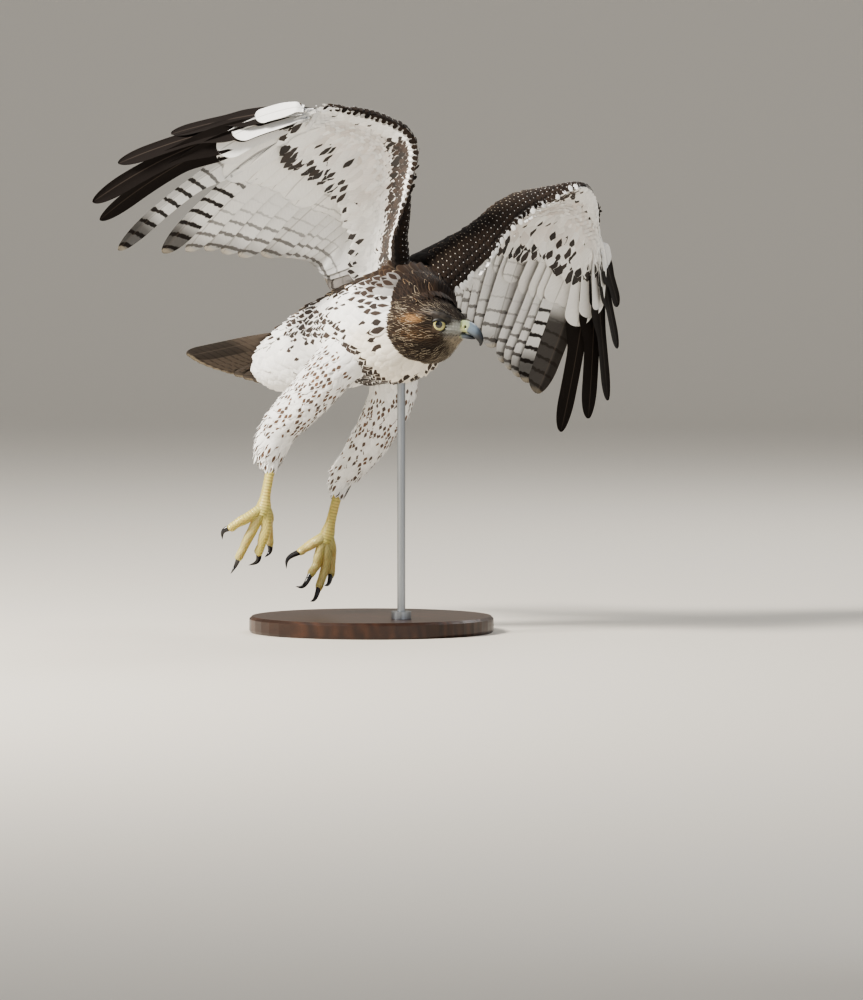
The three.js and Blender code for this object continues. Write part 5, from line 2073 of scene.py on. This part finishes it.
@dataclass
class Feet:
    """Bare shanks and toes with scutes in front and round pads beneath, and hooked black claws."""

    scute_mm: float = 3.4
    scute_rise: float = 0.45
    net_rise: float = 0.22
    pad_rise: float = 1.3

    def path(self, stops: Array, rows: int) -> tuple[Array, Array, Array]:
        """Smooth line through stops that carry a radius.

        Args:
            stops: Rows of x, y, z and radius.
            rows: Number of stations.

        Returns:
            Points, radii and distance travelled.
        """
        keys = [(k / (len(stops) - 1), list(stop)) for k, stop in enumerate(stops)]
        v = through(keys, np.linspace(0, 1, rows))
        travelled = travel(v[:, :3])
        even = np.linspace(0, travelled[-1], rows)
        v = np.stack([np.interp(even, travelled, v[:, k]) for k in range(4)], -1)
        return v[:, :3], v[:, 3], even

    def limb(
        self, surface: Surface, stops: Array, rows: int, patch: tuple[float, ...],
        pads: float, front: Array,
    ) -> None:
        """Adds a scaly limb.

        The radius rises and falls as a saw tooth at each scute in front and as a small net of bumps
        elsewhere; pads are half sine swellings under each joint.

        Args:
            surface: Mesh that takes it.
            stops: Rows of x, y, z and radius.
            rows: Number of stations.
            patch: Its place on the bake map.
            pads: Height of the pads.
            front: Direction that the scutes face.
        """
        line, radius, travelled = self.path(stops, rows)
        along = unit(np.gradient(line, axis=0))
        ahead = unit(front - along * (along @ front)[:, None])
        beside = np.cross(along, ahead)
        angle = circle(36)
        facing = np.cos(angle)[None, :]
        phase = (travelled / self.scute_mm) % 1
        saw = np.where(phase < 0.8, phase / 0.8, (1 - phase) / 0.2)[:, None]
        shield = ramp(facing, 0.2, 0.75)
        net = np.sin(travelled / 1.1)[:, None] * np.sin(angle * 11)[None, :]
        ends = ramp(travelled, 0, 3)[:, None]
        swell = self.scute_rise * saw * shield + self.net_rise * net * (1 - shield)
        pad = np.abs(np.sin(travelled / travelled[-1] * 2.6 * np.pi))[:, None]
        under = np.clip(-facing, 0, 1) ** 2 * pad * pads
        reach = radius[:, None] + (swell + under) * ends
        rings = (
            line[:, None, :]
            + ahead[:, None, :] * (facing * reach)[..., None]
            + beside[:, None, :] * (np.sin(angle)[None, :] * reach)[..., None]
        )
        groove = np.clip(shield * (1 - saw) ** 3 + (1 - shield) * (0.45 - 0.45 * net), 0, 1)
        tint = blend(Tone.SCUTE, Tone.SCUTE_GROOVE, 0.75 * groove)
        tint = blend(tint, Tone.SOLE, 0.5 * ramp(-facing, 0.2, 0.9) * np.ones_like(reach))
        closed_tube(surface, rings, BODY, {"Tint": tint}, patch)

    def claw(
        self, surface: Surface, root: Array, tip: Array, knuckle: Array,
        patch: tuple[float, ...],
    ) -> None:
        """Adds a hooked claw: a cone along an arc that bulges away from the grip.

        Args:
            surface: Mesh that takes it.
            root: Where it leaves the toe.
            tip: Its point.
            knuckle: Knuckle of its toe, which sets the plane of the hook.
            patch: Its place on the bake map.
        """
        chord = (tip - root) * CLAW_REACH
        ahead = unit(root - knuckle)
        bulge = unit(ahead - unit(chord) * (ahead @ unit(chord)) + 1e-6)
        t = np.linspace(0, 1, 34)
        bow = CLAW_SAG * 1.6 * np.linalg.norm(chord) * np.sin(np.pi * t) ** 1.2
        line = root + t[:, None] * chord + bulge * bow[:, None]
        along = unit(np.gradient(line, axis=0))
        side = unit(np.cross(along, bulge))
        above = np.cross(side, along)
        angle = circle(24)
        radius = CLAW_RADIUS * (1 - t**1.6) + 0.12
        keel = 1 - 0.25 * np.clip(-np.sin(angle), 0, 1) ** 2
        wide = (radius[:, None] * np.cos(angle)[None, :] * 0.85)[..., None]
        high = (radius[:, None] * (np.sin(angle) * keel)[None, :] * 1.12)[..., None]
        rings = line[:, None, :] + side[:, None, :] * wide + above[:, None, :] * high
        tint = blend(Tone.CLAW, Tone.CLAW_POINT, np.broadcast_to(t[:, None], rings.shape[:2]))
        closed_tube(surface, rings, BODY, {"Tint": tint}, patch)

    def build(self) -> None:
        """Makes, for each leg, a piece with shank and toes and a piece with the claws."""
        scales = PaintedFinish("yellow_scales", 0.46, 1.0, 0.25, 0.12, coat=0.1, subsurface=0.08)
        scales = scales.make()
        horn = PaintedFinish("claw_horn", 0.22, 1.2, 0.3, 0.05, coat=0.4).make()
        front = np.array([0.75, 0.0, -0.35])
        for side, leg in LEGS.items():
            cells = bake_cells(5)
            skin, claws = Surface(), Surface()
            self.limb(skin, np.array(leg["tarsus"], float), 180, cells[0], 0.0, unit(front))
            for k, toe in enumerate(leg["toes"]):
                root, knuckle, end, tip = (np.array(p, float) for p in toe)
                middle = (np.array(leg["tarsus"][4][:3]) + root) / 2
                stops = [
                    [*middle, TOE_RADIUS[0] * 1.05],
                    [*((root + knuckle) / 2 + unit(root - middle) * 1.5), TOE_RADIUS[0]],
                    [*knuckle, TOE_RADIUS[1]],
                    [*((knuckle + end) / 2), TOE_RADIUS[1] * 0.9],
                    [*end, TOE_RADIUS[2]],
                    [*(end + unit(tip - end) * 3.0), TOE_RADIUS[2] * 0.7],
                ]
                back = unit(np.cross(np.cross(end - root, tip - end), end - root)) * -1
                self.limb(skin, np.array(stops), 120, cells[k + 1], self.pad_rise, back)
                self.claw(claws, end, tip, knuckle, bake_cells(4)[k])
            legs = skin.make(f"foot_{side}", scales, "yellow_scales")
            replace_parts(legs, f"leg_{side}_tarsus", *(f"toe_{side}_{k}" for k in range(1, 5)))
            talons = claws.make(f"talons_{side}", horn, "claw_horn")
            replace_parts(talons, *(f"claw_{side}_{k}" for k in range(1, 5)))


class Stand:
    """The display stand: its turned base, collar and rod keep their solids in wood and steel."""

    def walnut(self) -> Material:
        """Oiled walnut: growth lines drawn out along the board, dark brown, with a soft satin."""
        shader = Shader("oiled_walnut")
        place = shader.place()
        drawn = shader.stretched(place, (0.09, 1.0, 0.6))
        wander = shader.noise(drawn, 60.0, 3.0)
        rings = shader.add(
            "TexWave",
            {"Vector": drawn, "Scale": 26.0, "Distortion": 5.0, "Detail": 3.0, "Detail Scale": 1.5},
            bands_direction="Y",
        ).outputs["Fac"]
        pores = shader.noise(shader.stretched(place, (0.03, 1.0, 1.0)), 1800.0, 2.0)
        colour = shader.mix(rings, Tone.WALNUT_DARK, Tone.WALNUT_LIGHT)
        colour = shader.mix(shader.step(wander, 0.35, 0.7), colour, Tone.WALNUT_CLOUD)
        open_pores = shader.times(shader.step(pores, 0.56, 0.66), 0.6)
        colour = shader.mix(open_pores, colour, Tone.WALNUT_PORE)
        bump = shader.add("Bump", {"Height": pores, "Strength": 0.15, "Distance": 0.1 * MM})
        return shader.finish(
            Base_Color=colour, Roughness=0.38, Normal=bump.outputs[0],
            Coat_Weight=0.25, Coat_Roughness=0.2,
        )

    def steel(self) -> Material:
        """Brushed steel: grey metal with fine rings round the rod."""
        shader = Shader("brushed_steel")
        rings = shader.noise(shader.stretched(shader.place(), (0.05, 0.05, 1.0)), 3000.0, 3.0)
        rough = shader.math("MULTIPLY_ADD", rings, 0.18, 0.24)
        return shader.finish(Base_Color=Tone.STEEL, Metallic=1.0, Roughness=rough)

    def build(self) -> None:
        """Gives the stand's nodes their finishes."""
        walnut, steel = self.walnut(), self.steel()
        finishes = {"stand_base": walnut, "stand_collar": steel, "stand_rod": steel}
        for name, material in finishes.items():
            for slot in frame["nodes"][name].material_slots:
                slot.link = "OBJECT"
                slot.material = material


# Each light's place in metres to the camera's right, towards the camera and up from the bird, its
# width in metres, its watts and its colour
LIGHTS = {
    "key": ((-2.1, 1.2, 1.7), 0.8, 175.0, Tone.SUN),
    "fill": ((1.6, 3.0, 0.7), 2.6, 12.0, Tone.SHADE_LIGHT),
    "back": ((1.2, -2.2, 2.2), 1.6, 42.0, Tone.PLAIN_LIGHT),
}
SKY_STRENGTH = 0.42
SENSOR_MM = 36.0


@dataclass
class Studio:
    """Pale seamless floor, soft lights and a camera at the photograph's angle and framing."""

    azimuth: float = 56.0
    elevation: float = 3.0
    distance: float = 12.0
    field_mm: float = 1100.0
    offset_right_mm: float = 58.9
    offset_up_mm: float = -184.8
    lit_height_mm: float = 380.0
    floor_front: float = -14.0
    floor_bend: float = 5.0
    bend_radius: float = 3.0
    wall_top: float = 12.0
    floor_half: float = 16.0

    def axes(self) -> tuple[Array, Array, Array]:
        """Directions to the camera's right, along its view and up."""
        a, e = math.radians(self.azimuth), math.radians(self.elevation)
        right = np.array([math.cos(a), math.sin(a), 0.0])
        ahead = np.array([-math.sin(a) * math.cos(e), math.cos(a) * math.cos(e), -math.sin(e)])
        return right, ahead, np.cross(right, ahead)

    def floor(self) -> None:
        """A pale sweep: flat under the stand, curving up far behind it, and clear from its back."""
        right, ahead, _ = self.axes()
        ahead = unit(np.array([ahead[0], ahead[1], 0]))
        bend, r = self.floor_bend, self.bend_radius
        turn = np.linspace(0, np.pi / 2, 24)
        profile = [(bend + r * math.sin(t), r - r * math.cos(t)) for t in turn]
        profile = [(self.floor_front, 0.0), *profile, (bend + r, self.wall_top)]
        mesh = bpy.data.meshes.new("floor")
        points = [
            tuple(ahead * d + right * w + np.array([0, 0, h]))
            for d, h in profile for w in (-self.floor_half, self.floor_half)
        ]
        faces = [(2 * k, 2 * k + 1, 2 * k + 3, 2 * k + 2) for k in range(len(profile) - 1)]
        mesh.from_pydata(points, [], faces)
        mesh.polygons.foreach_set("use_smooth", np.ones(len(faces), bool))
        shader = Shader("matt_grey_paper")
        mesh.materials.append(shader.finish(Base_Color=Tone.PAPER, Roughness=0.9))
        behind = shader.add("NewGeometry").outputs["Backfacing"]
        clear = shader.add("BsdfTransparent").outputs[0]
        paper = shader.surface.outputs[0]
        both = shader.add("MixShader", {0: behind, 1: paper, 2: clear}).outputs[0]
        shader.set(shader.output.inputs["Surface"], both)
        floor = bpy.data.objects.new("floor", mesh)
        bpy.context.scene.collection.objects.link(floor)

    def light(
        self, name: str, place: tuple[float, float, float], size: float, watts: float, colour: Tone
    ) -> None:
        """Adds a square soft light.

        Args:
            name: Its name.
            place: Metres to the camera's right, towards the camera and up from the bird.
            size: Width in metres.
            watts: Power.
            colour: Its tone.
        """
        right, ahead, _ = self.axes()
        centre = np.array([BODY_CENTRE[0], BODY_CENTRE[1], self.lit_height_mm]) * MM
        where = centre + right * place[0] - ahead * place[1] + np.array([0, 0, place[2]])
        data = bpy.data.lights.new(name, "AREA")
        data.size = size
        data.energy = watts
        data.color = rgba(colour)[:3]
        lamp = bpy.data.objects.new(name, data)
        lamp.location = where
        aim = Vector(centre) - Vector(where)
        lamp.rotation_euler = aim.to_track_quat("-Z", "Y").to_euler()
        bpy.context.scene.collection.objects.link(lamp)

    def build(self) -> None:
        """Sets floor, lights, sky and camera."""
        self.floor()
        for name, lamp in LIGHTS.items():
            self.light(name, *lamp)
        world = bpy.data.worlds.new("studio_air")
        world.use_nodes = True
        air = world.node_tree.nodes["Background"].inputs
        air[0].default_value = rgba(Tone.SKY)
        air[1].default_value = SKY_STRENGTH
        bpy.context.scene.world = world
        right, ahead, up = self.axes()
        middle = np.array(BODY_CENTRE) + right * self.offset_right_mm + up * self.offset_up_mm
        data = bpy.data.cameras.new("camera")
        data.sensor_width = SENSOR_MM
        data.lens = SENSOR_MM * self.distance / (self.field_mm * MM)
        data.clip_end = 60.0
        camera = bpy.data.objects.new("camera", data)
        turn = Matrix(np.stack([right, up, -ahead], -1).tolist()).to_4x4()
        camera.matrix_world = Matrix.Translation(middle * MM - ahead * self.distance) @ turn
        scene = bpy.context.scene
        scene.collection.objects.link(camera)
        scene.camera = camera
        scene.view_settings.view_transform = "AgX"
        scene.view_settings.look = "AgX - Medium High Contrast"


def main() -> None:
    """Builds skin, coat, wings, tail, eyes, bill, feet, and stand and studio."""
    logging.basicConfig(level=logging.INFO, format="%(message)s")
    skin = Skin()
    skin.build()
    small = DropPlumage("contour_plumage").make()
    long = BarredPlumage("flight_plumage", bar_mm=17.0, bar_share=0.24).make()
    body = BodyCoat()
    body.build(skin, small)
    for name, form in WINGS.items():
        WingCoat(name, form).build(skin, small, long, body)
    skin.paint(body.roots, body.tints)
    Tail().build(BarredPlumage("tail_plumage", bar_mm=11.0, bar_share=0.32).make())
    Eyes().build()
    Bill().build()
    Feet().build()
    Stand().build()
    Studio().build()


if __name__ == "__main__":
    main()
